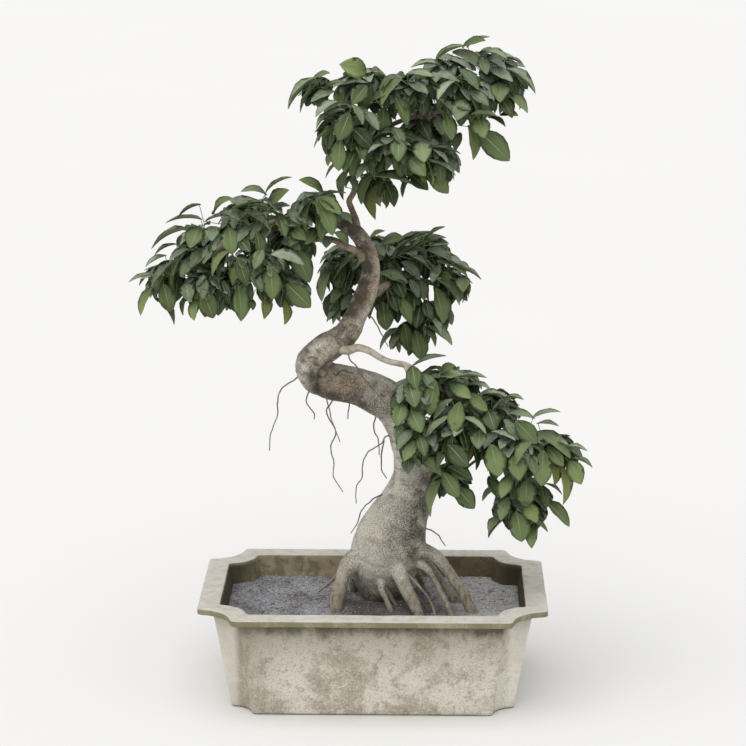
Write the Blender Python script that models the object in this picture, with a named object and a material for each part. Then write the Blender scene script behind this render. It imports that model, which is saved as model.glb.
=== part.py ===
"""A bonsai fig in a cast stone planter: pot, soil, drain screens, trunk, branches, aerial roots, leaf masses.

Metres, +Z up. The origin is the middle of the pot's flat bottom, +X runs along the pot's length
and -Y is the tree's front. The tree hangs from an empty at the middle of the soil's surface.
"""

import math

import bmesh
import bpy
import numpy as np

# ------------------------------------------------------------------ sizes: pot

POT_LENGTH = 0.500
POT_WIDTH = 0.336
POT_HEIGHT = 0.157
LIP_THICKNESS = 0.009
LIP_OVERHANG = 0.0215
WALL = 0.011
FLOOR = 0.012
WALL_LEAN = 0.0245  # how far a wall comes in between the lip and the bottom
LIP_NOTCH = 0.051  # radius of the hollow corner round the lip
BODY_NOTCH = 0.040  # the same just under the lip
FOOT_NOTCH = 0.032  # the same at the bottom
NOTCH_STEPS = 8
DRAIN_RADIUS = 0.011
DRAIN_SPACING = 0.190
DRAIN_SIDES = 24
SCREEN_SIDE = 0.040
SCREEN_THICKNESS = 0.0015
SOIL_BELOW_RIM = 0.0305

# ----------------------------------------------------------------- sizes: tree

GAP = 0.0004  # between pieces that touch
TREE_SCALE = 1.0  # of every route and leaf mass below
TRUNK_GIRTH = 1.0  # of the trunk's and surface roots' thickness
BRANCH_GIRTH = 1.0  # of the branches' and twigs' thickness
TWIG_RADIUS = 0.0020
TWIG_HOST_RADIUS = 0.0065  # twigs grow from wood thinner than this
TWIG_SHORTEST = 0.024  # a leaf mass this close to the wood grows straight on it
TWIG_TAPER = (1.3, 1.15, 1.0)  # a twig's base, middle and end against TWIG_RADIUS
TWIG_IN_HOST = 0.9  # the thickest that a twig's base may be against its host's radius
TWIG_BOW = 0.12  # how far a twig bows up, against its length
TWIG_DROP = 0.15  # how far below a leaf mass's middle its twig ends, against its half height
LEAF_SIZE = 1.0  # of the leaf masses, about their own middles
LEAF_GAP = 0.002  # between one leaf mass and the next
LEAF_DETAIL = 2  # subdivisions of the sphere a leaf mass starts from
LEAF_NEIGHBOURS = 1.3  # masses further apart than this times their reach leave each other be

TRUNK_SIDES = 10
BRANCH_SIDES = 6
ROOTLET_SIDES = 6
TRUNK_STEP = 0.020
ROOT_STEP = 0.016
BRANCH_STEP = 0.021

BODY_TOP = POT_HEIGHT - LIP_THICKNESS
SOIL_LEVEL = POT_HEIGHT - SOIL_BELOW_RIM
SHARPEST_SMOOTH = math.radians(40)  # faces that meet at less than this shade as one

# Routes are (x, y, z, radius) from the middle of the soil's surface, each from its thick end.

TRUNK_ROUTE = [
    (0.009, 0.034, -0.016, 0.020),
    (0.010, 0.034, 0.004, 0.031),
    (0.012, 0.035, 0.028, 0.043),
    (0.016, 0.036, 0.051, 0.0515),
    (0.021, 0.036, 0.076, 0.0550),
    (0.027, 0.036, 0.100, 0.0515),
    (0.036, 0.036, 0.128, 0.0445),
    (0.048, 0.036, 0.156, 0.0370),
    (0.055, 0.036, 0.183, 0.0330),
    (0.056, 0.036, 0.222, 0.0315),
    (0.048, 0.036, 0.261, 0.0310),
    (0.029, 0.036, 0.291, 0.0300),
    (0.004, 0.035, 0.308, 0.0285),
    (-0.029, 0.030, 0.323, 0.0275),
    (-0.059, 0.018, 0.332, 0.0270),
    (-0.082, 0.004, 0.346, 0.0262),
    (-0.086, -0.006, 0.365, 0.0252),
    (-0.076, -0.012, 0.384, 0.0238),
    (-0.056, -0.014, 0.399, 0.0228),
    (-0.037, -0.014, 0.416, 0.0208),
    (-0.027, -0.012, 0.435, 0.0185),
    (-0.014, -0.008, 0.462, 0.0155),
    (-0.005, -0.004, 0.492, 0.0135),
    (-0.006, -0.002, 0.518, 0.0125),
    (-0.015, 0.000, 0.540, 0.0120),
    (-0.030, 0.000, 0.559, 0.0112),
    (-0.051, 0.000, 0.570, 0.0080),
    (-0.074, 0.000, 0.577, 0.0058),
    (-0.104, -0.005, 0.579, 0.0050),
    (-0.140, -0.010, 0.571, 0.0042),
    (-0.182, -0.010, 0.554, 0.0036),
    (-0.232, -0.010, 0.522, 0.0032),
    (-0.283, -0.010, 0.488, 0.0028),
]

SURFACE_ROOTS = {
    "left": [
        (-0.008, 0.028, 0.072, 0.024),
        (-0.031, 0.010, 0.063, 0.016),
        (-0.044, -0.002, 0.047, 0.0108),
        (-0.049, -0.012, 0.033, 0.0103),
        (-0.053, -0.020, 0.017, 0.0099),
        (-0.055, -0.028, 0.001, 0.0088),
        (-0.056, -0.034, -0.014, 0.0073),
    ],
    "front": [
        (0.028, 0.014, 0.076, 0.022),
        (0.035, -0.008, 0.057, 0.0125),
        (0.047, -0.028, 0.034, 0.0102),
        (0.056, -0.040, 0.020, 0.0098),
        (0.066, -0.053, 0.003, 0.0084),
        (0.073, -0.063, -0.013, 0.0070),
    ],
    "right": [
        (0.048, 0.022, 0.088, 0.022),
        (0.072, 0.010, 0.081, 0.0120),
        (0.086, 0.003, 0.078, 0.0090),
        (0.098, -0.005, 0.068, 0.0088),
        (0.109, -0.012, 0.054, 0.0088),
        (0.120, -0.019, 0.040, 0.0088),
        (0.131, -0.026, 0.024, 0.0088),
        (0.143, -0.035, 0.002, 0.0080),
        (0.149, -0.040, -0.014, 0.0070),
    ],
    "back_right": [
        (0.050, 0.046, 0.066, 0.018),
        (0.073, 0.038, 0.054, 0.0095),
        (0.088, 0.030, 0.040, 0.0078),
        (0.103, 0.022, 0.022, 0.0078),
        (0.116, 0.015, 0.008, 0.0080),
        (0.130, 0.009, -0.013, 0.0066),
    ],
    "arched": [
        (0.048, 0.022, 0.058, 0.0120),
        (0.066, 0.006, 0.060, 0.0070),
        (0.079, -0.006, 0.055, 0.0050),
        (0.089, -0.018, 0.044, 0.0046),
        (0.098, -0.030, 0.029, 0.0046),
        (0.107, -0.042, 0.015, 0.0044),
        (0.116, -0.057, -0.010, 0.0038),
    ],
    "back_left": [
        (-0.012, 0.050, 0.056, 0.014),
        (-0.029, 0.054, 0.035, 0.0075),
        (-0.032, 0.056, 0.015, 0.0062),
        (-0.030, 0.056, -0.014, 0.0056),
    ],
    "front_small": [
        (0.012, 0.002, 0.046, 0.0090),
        (0.012, -0.018, 0.028, 0.0052),
        (0.018, -0.027, 0.017, 0.0046),
        (0.024, -0.037, 0.005, 0.0042),
        (0.030, -0.048, -0.012, 0.0036),
    ],
    "back": [
        (0.030, 0.062, 0.062, 0.020),
        (0.036, 0.086, 0.042, 0.0100),
        (0.040, 0.098, 0.018, 0.0082),
        (0.042, 0.104, -0.013, 0.0066),
    ],
}

ROOTLETS = {
    "left_1": [
        (-0.040, 0.000, 0.046, 0.0050),
        (-0.041, 0.006, 0.024, 0.0022),
        (-0.042, 0.008, -0.008, 0.0018),
    ],
    "front_1": [
        (0.012, -0.008, 0.034, 0.0052),
        (0.026, -0.012, 0.013, 0.0034),
        (0.040, -0.015, -0.010, 0.0024),
    ],
    "front_2": [
        (0.040, -0.010, 0.056, 0.0040),
        (0.062, -0.022, 0.040, 0.0020),
        (0.083, -0.042, 0.018, 0.0018),
        (0.093, -0.060, -0.009, 0.0016),
    ],
    "back_1": [
        (0.056, 0.052, 0.042, 0.0080),
        (0.070, 0.047, 0.018, 0.0050),
        (0.076, 0.042, -0.010, 0.0040),
    ],
}

BRANCH_ROUTES = {
    "branch_top": [
        [
            (-0.022, 0.000, 0.550, 0.0066),
            (-0.026, 0.000, 0.573, 0.0048),
            (-0.032, 0.000, 0.589, 0.0043),
            (-0.035, 0.000, 0.600, 0.0042),
            (-0.029, 0.000, 0.611, 0.0043),
            (-0.027, 0.000, 0.622, 0.0044),
            (-0.031, 0.000, 0.640, 0.0042),
            (-0.035, 0.000, 0.656, 0.0041),
            (-0.031, 0.002, 0.680, 0.0038),
            (-0.024, 0.008, 0.706, 0.0035),
            (-0.014, 0.020, 0.736, 0.0030),
        ],
        [
            (-0.030, 0.003, 0.684, 0.0034),
            (-0.044, -0.003, 0.715, 0.0032),
            (-0.066, -0.003, 0.742, 0.0028),
        ],
        [
            (-0.033, 0.001, 0.668, 0.0038),
            (-0.002, 0.000, 0.694, 0.0036),
            (0.044, 0.000, 0.716, 0.0033),
            (0.093, 0.002, 0.727, 0.0031),
            (0.150, 0.004, 0.742, 0.0028),
        ],
    ],
    "branch_left": [
        [
            (-0.008, -0.003, 0.514, 0.0075),
            (-0.024, -0.012, 0.530, 0.0055),
            (-0.041, -0.017, 0.538, 0.0047),
            (-0.056, -0.019, 0.547, 0.0043),
            (-0.074, -0.019, 0.549, 0.0040),
            (-0.095, -0.018, 0.543, 0.0036),
            (-0.120, -0.022, 0.530, 0.0033),
            (-0.148, -0.034, 0.515, 0.0030),
            (-0.185, -0.040, 0.500, 0.0027),
        ],
    ],
    "branch_right": [
        [
            (-0.054, -0.014, 0.395, 0.0110),
            (-0.038, -0.030, 0.390, 0.0072),
            (-0.022, -0.036, 0.395, 0.0056),
            (-0.006, -0.037, 0.391, 0.0050),
            (0.008, -0.037, 0.382, 0.0047),
            (0.020, -0.037, 0.376, 0.0045),
            (0.033, -0.037, 0.373, 0.0044),
            (0.046, -0.037, 0.370, 0.0043),
            (0.060, -0.038, 0.362, 0.0040),
            (0.095, -0.040, 0.338, 0.0039),
            (0.138, -0.042, 0.312, 0.0037),
            (0.188, -0.042, 0.281, 0.0034),
            (0.240, -0.040, 0.246, 0.0030),
        ],
        [
            (0.046, -0.037, 0.370, 0.0040),
            (0.056, -0.050, 0.344, 0.0034),
            (0.067, -0.062, 0.300, 0.0030),
        ],
        [
            (0.130, -0.042, 0.316, 0.0036),
            (0.162, -0.045, 0.280, 0.0033),
            (0.193, -0.048, 0.228, 0.0030),
            (0.208, -0.048, 0.190, 0.0027),
        ],
    ],
    "branch_back": [
        [
            (-0.016, -0.008, 0.456, 0.0100),
            (0.000, 0.022, 0.462, 0.0072),
            (0.018, 0.058, 0.466, 0.0056),
            (0.036, 0.088, 0.466, 0.0048),
            (0.064, 0.105, 0.464, 0.0041),
            (0.094, 0.106, 0.456, 0.0036),
        ],
        [
            (0.012, 0.046, 0.465, 0.0048),
            (-0.006, 0.072, 0.468, 0.0040),
            (-0.038, 0.088, 0.464, 0.0032),
        ],
        [
            (0.036, 0.088, 0.466, 0.0042),
            (0.044, 0.092, 0.437, 0.0037),
            (0.055, 0.097, 0.396, 0.0030),
        ],
    ],
}

# Which wood the twigs of each leaf mass grow from.
PAD_WOOD = {
    "left": ("trunk", "branch_left"),
    "top": ("branch_top",),
    "right": ("branch_right",),
    "back": ("branch_back",),
}

# Leaf masses: (x, y, z) of the middle and the half sizes along X, Y and Z.
LEAF_MASSES = {
    "left": [
        (-0.297, -0.010, 0.484, 0.046, 0.045, 0.043),
        (-0.246, 0.030, 0.523, 0.055, 0.050, 0.049),
        (-0.226, -0.048, 0.480, 0.051, 0.045, 0.042),
        (-0.177, 0.028, 0.560, 0.054, 0.050, 0.049),
        (-0.163, -0.058, 0.502, 0.051, 0.045, 0.051),
        (-0.117, 0.022, 0.536, 0.046, 0.050, 0.054),
        (-0.115, -0.036, 0.482, 0.038, 0.045, 0.045),
        (-0.078, -0.028, 0.588, 0.040, 0.042, 0.038),
    ],
    "top": [
        (-0.082, 0.000, 0.750, 0.038, 0.042, 0.031),
        (-0.038, -0.038, 0.708, 0.046, 0.046, 0.050),
        (-0.017, 0.036, 0.752, 0.048, 0.050, 0.040),
        (0.026, -0.040, 0.670, 0.048, 0.050, 0.045),
        (0.050, -0.018, 0.752, 0.048, 0.050, 0.040),
        (0.076, 0.044, 0.696, 0.051, 0.055, 0.049),
        (0.104, 0.050, 0.770, 0.045, 0.045, 0.036),
        (0.128, -0.036, 0.748, 0.047, 0.050, 0.047),
        (0.179, 0.018, 0.764, 0.045, 0.055, 0.060),
        (0.090, -0.022, 0.656, 0.036, 0.042, 0.037),
        (0.003, 0.006, 0.615, 0.028, 0.035, 0.037),
    ],
    "right": [
        (0.057, -0.060, 0.327, 0.038, 0.042, 0.045),
        (0.066, -0.074, 0.268, 0.038, 0.042, 0.047),
        (0.108, -0.018, 0.333, 0.049, 0.050, 0.037),
        (0.123, -0.064, 0.277, 0.050, 0.050, 0.050),
        (0.176, -0.022, 0.300, 0.049, 0.050, 0.037),
        (0.197, -0.070, 0.248, 0.052, 0.048, 0.050),
        (0.258, -0.032, 0.238, 0.049, 0.050, 0.044),
        (0.110, -0.058, 0.206, 0.036, 0.040, 0.035),
        (0.214, -0.034, 0.166, 0.049, 0.050, 0.050),
    ],
    "back": [
        (-0.048, 0.090, 0.481, 0.036, 0.045, 0.044),
        (-0.050, 0.100, 0.428, 0.029, 0.036, 0.030),
        (0.012, 0.126, 0.496, 0.046, 0.048, 0.036),
        (0.071, 0.134, 0.490, 0.050, 0.048, 0.040),
        (0.113, 0.096, 0.458, 0.038, 0.048, 0.044),
        (0.034, 0.086, 0.440, 0.044, 0.046, 0.045),
        (0.086, 0.092, 0.410, 0.041, 0.045, 0.041),
        (0.052, 0.104, 0.378, 0.035, 0.036, 0.030),
    ],
}

# Thin roots that hang in the air, each from a point inside the wood.
AERIAL_ROUTES = {
    "knee_left": [
        [
            (-0.100, -0.004, 0.352),
            (-0.114, 0.000, 0.339),
            (-0.133, 0.000, 0.325),
            (-0.139, 0.000, 0.306),
            (-0.139, 0.000, 0.286),
            (-0.149, 0.000, 0.260),
            (-0.151, 0.000, 0.233),
        ]
    ],
    "knee_short": [
        [(-0.088, 0.004, 0.332), (-0.098, 0.004, 0.306), (-0.086, 0.004, 0.288), (-0.086, 0.004, 0.279)]
    ],
    "knee_front": [
        [
            (-0.078, -0.006, 0.350),
            (-0.075, -0.026, 0.338),
            (-0.066, -0.024, 0.312),
            (-0.059, -0.020, 0.282),
            (-0.048, -0.018, 0.251),
        ]
    ],
    "long": [
        [
            (-0.050, 0.018, 0.318),
            (-0.063, 0.018, 0.299),
            (-0.069, 0.018, 0.285),
            (-0.056, 0.018, 0.256),
            (-0.063, 0.018, 0.234),
            (-0.059, 0.018, 0.210),
            (-0.059, 0.018, 0.188),
            (-0.046, 0.018, 0.166),
        ]
    ],
    "stub": [[(-0.034, 0.030, 0.312), (-0.037, 0.030, 0.290), (-0.039, 0.030, 0.273)]],
    "middle": [
        [(0.005, 0.034, 0.288), (-0.001, 0.034, 0.258), (0.006, 0.034, 0.238), (0.007, 0.034, 0.218)]
    ],
    "forked": [
        [
            (0.036, 0.034, 0.246),
            (0.018, 0.030, 0.247),
            (0.010, 0.030, 0.236),
            (-0.010, 0.030, 0.222),
            (-0.017, 0.030, 0.205),
            (-0.018, 0.030, 0.185),
            (-0.026, 0.030, 0.170),
            (-0.027, 0.030, 0.144),
        ],
        [(0.014, 0.030, 0.241), (0.010, 0.030, 0.214), (0.011, 0.030, 0.196), (0.018, 0.030, 0.183)],
    ],
    "slope": [
        [
            (0.026, 0.030, 0.163),
            (-0.002, 0.026, 0.153),
            (-0.020, 0.026, 0.133),
            (-0.024, 0.026, 0.117),
            (-0.035, 0.026, 0.100),
        ]
    ],
    "right": [
        [(0.066, 0.036, 0.108), (0.084, 0.036, 0.102), (0.096, 0.036, 0.092), (0.104, 0.036, 0.078)]
    ],
    "bridge": [
        [
            (-0.036, -0.031, 0.390),
            (-0.034, -0.040, 0.380),
            (-0.024, -0.030, 0.366),
            (-0.012, -0.008, 0.341),
            (0.001, -0.003, 0.324),
            (0.021, -0.003, 0.300),
        ]
    ],
    "behind": [
        [(-0.018, -0.006, 0.444), (0.000, 0.012, 0.424), (0.011, 0.018, 0.402), (0.020, 0.020, 0.384)]
    ],
}
AERIAL_RADIUS = 0.0014
AERIAL_TIP_RADIUS = 0.0009
AERIAL_STEP = 0.013

# --------------------------------------------------------------------- colours

CAST_STONE = ("cast_stone", (0.42, 0.39, 0.32), 0.85)
SOIL = ("soil", (0.11, 0.10, 0.10), 0.95)
SCREEN = ("screen", (0.03, 0.03, 0.03), 0.60)
TRUNK_BARK = ("trunk_bark", (0.36, 0.32, 0.26), 0.80)
BRANCH_BARK = ("branch_bark", (0.30, 0.25, 0.20), 0.80)
ROOT_SKIN = ("root_skin", (0.33, 0.27, 0.21), 0.80)
LEAF = ("leaf", (0.06, 0.13, 0.05), 0.45)


def finish(name, colour, roughness):
    """A Principled material of one colour for the piece called name."""
    material = bpy.data.materials.new(name)
    material.use_nodes = True
    shader = material.node_tree.nodes["Principled BSDF"]
    shader.inputs["Base Color"].default_value = (*colour, 1.0)
    shader.inputs["Roughness"].default_value = roughness
    material.diffuse_color = (*colour, 1.0)
    return material


# --------------------------------------------------------------------- helpers


def clear_scene():
    for scene_object in list(bpy.data.objects):
        bpy.data.objects.remove(scene_object, do_unlink=True)


def new_collection(name):
    collection = bpy.data.collections.new(name)
    bpy.context.scene.collection.children.link(collection)
    return collection


def place(mesh_object, collection, parent=None):
    """Links the object to its collection, under its parent."""
    collection.objects.link(mesh_object)
    mesh_object.parent = parent
    return mesh_object


def give_finish(piece, look):
    """Gives a piece a material of its own, and smooth shading where its faces nearly line up."""
    look_name, colour, roughness = look
    piece.data.materials.clear()
    piece.data.materials.append(finish(f"{look_name}_{piece.name}", colour, roughness))
    piece.data.shade_smooth()
    piece.data.set_sharp_from_angle(angle=SHARPEST_SMOOTH)


def hide_as_cutter(cutter):
    cutter.hide_render = True
    cutter.display_type = "WIRE"


def boolean(piece, cutter, operation):
    modifier = piece.modifiers.new(cutter.name, "BOOLEAN")
    modifier.operation = operation
    modifier.solver = "EXACT"
    modifier.object = cutter


def evaluated_mesh(source):
    """The source's mesh with its modifiers or its bevel applied and touching points made one."""
    bpy.context.view_layer.update()
    graph = bpy.context.evaluated_depsgraph_get()
    mesh = bpy.data.meshes.new_from_object(source.evaluated_get(graph))
    bm = bmesh.new()
    bm.from_mesh(mesh)
    bmesh.ops.remove_doubles(bm, verts=bm.verts, dist=0.00001)
    bm.to_mesh(mesh)
    bm.free()
    return mesh


def smooth_route(points, step):
    """Rows of a Catmull-Rom curve through the points, about one every step."""
    rows = np.array(points, dtype=float)
    rows = np.vstack([2 * rows[0] - rows[1], rows, 2 * rows[-1] - rows[-2]])
    route = []
    for before, start, end, after in zip(rows, rows[1:], rows[2:], rows[3:]):
        count = max(1, math.ceil(np.linalg.norm((end - start)[:3]) / step))
        t = (np.arange(count) / count)[:, None]
        route.append(
            start
            + 0.5 * t * (end - before)
            + t**2 * (before - 2.5 * start + 2 * end - 0.5 * after)
            + t**3 * (1.5 * (start - end) + 0.5 * (after - before))
        )
    return np.vstack([*route, rows[-2:-1]])


def tube(name, points, step, sides, grow=0.0):
    """A round closed tube along the points, its skin and both ends moved out by grow."""
    route = smooth_route(points, step)
    if grow:
        for end, inner in ((0, 1), (-1, -2)):
            outward = route[end, :3] - route[inner, :3]
            route[end, :3] += grow * outward / np.linalg.norm(outward)
    data = bpy.data.curves.new(name, "CURVE")
    data.dimensions = "3D"
    data.bevel_depth = 1.0
    data.bevel_resolution = sides // 2 - 2
    data.use_fill_caps = True
    spline = data.splines.new("POLY")
    spline.points.add(len(route) - 1)
    for point, (x, y, z, radius) in zip(spline.points, route):
        point.co = (x, y, z, 1)
        point.radius = radius + grow
    curve = bpy.data.objects.new(name, data)
    bpy.context.scene.collection.objects.link(curve)
    solid = bpy.data.objects.new(name, evaluated_mesh(curve))
    solid.matrix_world = curve.matrix_world
    bpy.data.objects.remove(curve)
    bpy.data.curves.remove(data)
    bpy.context.scene.collection.objects.link(solid)
    return solid


def union(name, solids):
    """One object of all the solids joined."""
    first, *others = solids
    for other in others:
        boolean(first, other, "UNION")
    joined = bpy.data.objects.new(name, evaluated_mesh(first))
    for solid in solids:
        bpy.data.objects.remove(solid)
    return joined


# ------------------------------------------------------------------------- pot


def notched_outline(half_x, half_y, notch):
    """Points, anticlockwise, of a rectangle whose corners are bitten out by quarter circles."""
    points = []
    for turn, (side_x, side_y) in enumerate([(1, 1), (-1, 1), (-1, -1), (1, -1)]):
        for step in range(NOTCH_STEPS + 1):
            angle = math.radians(270 + 90 * turn - 90 * step / NOTCH_STEPS)
            points.append(
                (
                    side_x * half_x + notch * math.cos(angle),
                    side_y * half_y + notch * math.sin(angle),
                )
            )
    return points


def loft(name, sections):
    """A closed solid through notched outlines, each (z, half_x, half_y, notch), with both ends capped."""
    bm = bmesh.new()
    rings = []
    for z, half_x, half_y, notch in sections:
        rings.append([bm.verts.new((x, y, z)) for x, y in notched_outline(half_x, half_y, notch)])
    for lower, upper in zip(rings, rings[1:]):
        for i in range(len(lower)):
            j = (i + 1) % len(lower)
            bm.faces.new((lower[i], lower[j], upper[j], upper[i]))
    bm.faces.new(rings[0][::-1])
    bm.faces.new(rings[-1])
    bmesh.ops.recalc_face_normals(bm, faces=bm.faces)
    mesh = bpy.data.meshes.new(name)
    bm.to_mesh(mesh)
    bm.free()
    return bpy.data.objects.new(name, mesh)


def outer_section(z):
    """The body's outline at height z."""
    rise = z / BODY_TOP
    half_x = POT_LENGTH / 2 - LIP_OVERHANG - WALL_LEAN * (1 - rise)
    half_y = POT_WIDTH / 2 - LIP_OVERHANG - WALL_LEAN * (1 - rise)
    return z, half_x, half_y, FOOT_NOTCH + (BODY_NOTCH - FOOT_NOTCH) * rise


def inner_section(z, inset=0.0):
    """The cavity's outline at height z, or one that much inside it."""
    _, half_x, half_y, notch = outer_section(z)
    return z, half_x - WALL - inset, half_y - WALL - inset, notch


def drain_places():
    return [-DRAIN_SPACING / 2, DRAIN_SPACING / 2]


def round_cutter(name, x, radius, bottom, top):
    bm = bmesh.new()
    bmesh.ops.create_cone(
        bm, cap_ends=True, segments=DRAIN_SIDES, radius1=radius, radius2=radius, depth=top - bottom
    )
    mesh = bpy.data.meshes.new(name)
    bm.to_mesh(mesh)
    bm.free()
    cutter = bpy.data.objects.new(name, mesh)
    cutter.location = (x, 0, (bottom + top) / 2)
    return cutter


def box(name, x, size, bottom, top):
    bm = bmesh.new()
    bmesh.ops.create_cube(bm, size=1.0)
    bmesh.ops.scale(bm, vec=(size, size, top - bottom), verts=bm.verts)
    mesh = bpy.data.meshes.new(name)
    bm.to_mesh(mesh)
    bm.free()
    solid = bpy.data.objects.new(name, mesh)
    solid.location = (x, 0, (bottom + top) / 2)
    return solid


def make_pot(parts, cutters):
    """Leaning walls, a flat lip and a floor in one lofted skin, with a drain hole either side."""
    lip = (POT_LENGTH / 2, POT_WIDTH / 2, LIP_NOTCH)
    sections = [
        outer_section(0.0),
        outer_section(BODY_TOP),
        (BODY_TOP, *lip),
        (POT_HEIGHT, *lip),
        inner_section(POT_HEIGHT),
        inner_section(FLOOR),
    ]
    pot = place(loft("pot", sections), parts)
    for side, x in zip(("left", "right"), drain_places()):
        drain = place(round_cutter(f"drain_{side}", x, DRAIN_RADIUS, -FLOOR, 2 * FLOOR), cutters)
        hide_as_cutter(drain)
        boolean(pot, drain, "DIFFERENCE")
    give_finish(pot, CAST_STONE)


def make_screens(parts):
    """A square of mesh over each drain hole, flat on the floor."""
    bottom = FLOOR + GAP
    for side, x in zip(("left", "right"), drain_places()):
        name = f"drain_screen_{side}"
        screen = place(box(name, x, SCREEN_SIDE, bottom, bottom + SCREEN_THICKNESS), parts)
        give_finish(screen, SCREEN)


def make_soil(parts, cutters, trunk_room):
    """Fills the pot to the soil's level, round the trunk's feet and over the screens."""
    sections = [inner_section(FLOOR + GAP, GAP), inner_section(SOIL_LEVEL, GAP)]
    soil = place(loft("soil", sections), parts)
    top = FLOOR + SCREEN_THICKNESS + 2 * GAP
    for side, x in zip(("left", "right"), drain_places()):
        name = f"screen_{side}_room"
        room = place(box(name, x, SCREEN_SIDE + 2 * GAP, 0, top), cutters)
        hide_as_cutter(room)
        boolean(soil, room, "DIFFERENCE")
    boolean(soil, trunk_room, "DIFFERENCE")
    give_finish(soil, SOIL)


# ------------------------------------------------------------------------ wood


def scaled(points, girth=1.0):
    """A route at the tree's own scale, its thickness times girth."""
    return [
        (x * TREE_SCALE, y * TREE_SCALE, z * TREE_SCALE, radius * TREE_SCALE * girth)
        for x, y, z, radius in points
    ]


def leaf_masses():
    """name -> (pad, middle, half sizes) of every leaf mass."""
    masses = {}
    for pad, rows in LEAF_MASSES.items():
        for number, row in enumerate(rows, 1):
            middle = np.array(row[:3]) * TREE_SCALE
            half = np.array(row[3:]) * TREE_SCALE * LEAF_SIZE
            masses[f"leaves_{pad}_{number}"] = (pad, middle, half)
    return masses


def wood_routes():
    """wood's name -> its main routes."""
    routes = {"trunk": [scaled(TRUNK_ROUTE, TRUNK_GIRTH)]}
    for name, branches in BRANCH_ROUTES.items():
        routes[name] = [scaled(points, BRANCH_GIRTH) for points in branches]
    return routes


def twigs(routes, masses):
    """wood's name -> routes of the twigs that run from its nearest thin stretch into each leaf mass."""
    grown = {name: [] for name in routes}
    host_radius = TWIG_HOST_RADIUS * TREE_SCALE * BRANCH_GIRTH
    tip = TWIG_RADIUS * TREE_SCALE * BRANCH_GIRTH
    samples = []
    for name, branches in routes.items():
        for points in branches:
            for row in smooth_route(points, BRANCH_STEP):
                if row[3] < host_radius:
                    samples.append((name, row))
    for pad, middle, half in masses.values():
        target = middle - (0, 0, TWIG_DROP * half[2])
        hosts = [sample for sample in samples if sample[0] in PAD_WOOD[pad]]
        name, start = min(hosts, key=lambda host: np.linalg.norm(host[1][:3] - target))
        reach = np.linalg.norm(target - start[:3])
        if reach < TWIG_SHORTEST * TREE_SCALE:
            continue
        bend = (start[:3] + target) / 2 + (0, 0, TWIG_BOW * reach)
        base, thick, thin = (share * tip for share in TWIG_TAPER)
        base = min(base, TWIG_IN_HOST * start[3])
        grown[name].append([(*start[:3], base), (*bend, thick), (*target, thin)])
    return grown


def make_wood(name, routes, twig_routes, grow=0.0):
    """One solid of a wood's routes and twigs; the trunk has its surface roots too."""
    is_trunk = name.startswith("trunk")
    sides = TRUNK_SIDES if is_trunk else BRANCH_SIDES
    step = TRUNK_STEP if is_trunk else BRANCH_STEP
    solids = [tube(name, points, step, sides, grow) for points in routes]
    solids += [tube(name, points, BRANCH_STEP, ROOTLET_SIDES, grow) for points in twig_routes]
    if is_trunk:
        for points in SURFACE_ROOTS.values():
            solids.append(tube(name, scaled(points, TRUNK_GIRTH), ROOT_STEP, BRANCH_SIDES, grow))
        for points in ROOTLETS.values():
            solids.append(tube(name, scaled(points, TRUNK_GIRTH), ROOT_STEP, ROOTLET_SIDES, grow))
    return union(name, solids)


def make_planter_room(cutters):
    """A cutter that holds the pot's walls and floor and all round them, to trim roots that reach the pot."""
    round_pot = (POT_LENGTH, POT_WIDTH, LIP_NOTCH)
    sections = [
        (-POT_HEIGHT, *round_pot),
        (POT_HEIGHT, *round_pot),
        inner_section(POT_HEIGHT, GAP),
        inner_section(FLOOR + GAP, GAP),
    ]
    room = place(loft("planter_room", sections), cutters)
    hide_as_cutter(room)
    return room


def make_all_wood(parts, cutters, tree, routes, twig_routes):
    """Makes the trunk and branches, and returns the cutter that clears room for each."""
    planter_room = make_planter_room(cutters)
    rooms = {}
    for name in routes:
        room = make_wood(f"{name}_room", routes[name], twig_routes[name], GAP)
        rooms[name] = place(room, cutters, tree)
        hide_as_cutter(room)
    for name in routes:
        wood = place(make_wood(name, routes[name], twig_routes[name]), parts, tree)
        boolean(wood, planter_room if name == "trunk" else rooms["trunk"], "DIFFERENCE")
        give_finish(wood, TRUNK_BARK if name == "trunk" else BRANCH_BARK)
    return rooms


def passes_box(branches, middle, half):
    """Whether any of the routes comes near a box."""
    for points in branches:
        rows = smooth_route(points, BRANCH_STEP)
        clear = np.abs(rows[:, :3] - middle) - half - rows[:, 3:] - BRANCH_STEP
        if (clear.max(axis=1) < 0).any():
            return True
    return False


def cut_to_wood(piece, middle, half, routes, rooms):
    """Cuts the piece, whose box is given, back from each wood that comes near it."""
    for wood, room in rooms.items():
        if passes_box(routes[wood], middle, half):
            boolean(piece, room, "DIFFERENCE")


def make_aerial_roots(parts, tree, routes, rooms):
    """The thin hanging roots, cut off where they meet the wood."""
    for name, branches in AERIAL_ROUTES.items():
        solids = []
        for points in branches:
            thinning = np.linspace(AERIAL_RADIUS, AERIAL_TIP_RADIUS, len(points))
            route = [(*point, radius) for point, radius in zip(points, thinning)]
            solids.append(tube(name, scaled(route, BRANCH_GIRTH), AERIAL_STEP, ROOTLET_SIDES))
        root = place(union(f"aerial_root_{name}", solids), parts, tree)
        points = np.vstack(branches) * TREE_SCALE
        middle = (points.min(axis=0) + points.max(axis=0)) / 2
        cut_to_wood(root, middle, np.ptp(points, axis=0) / 2, routes, rooms)
        give_finish(root, ROOT_SKIN)


# ---------------------------------------------------------------------- leaves


def reach_along(half, direction):
    """How far an ellipsoid of these half sizes reaches from its middle along a unit direction."""
    return 1.0 / np.linalg.norm(direction / half)


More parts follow.
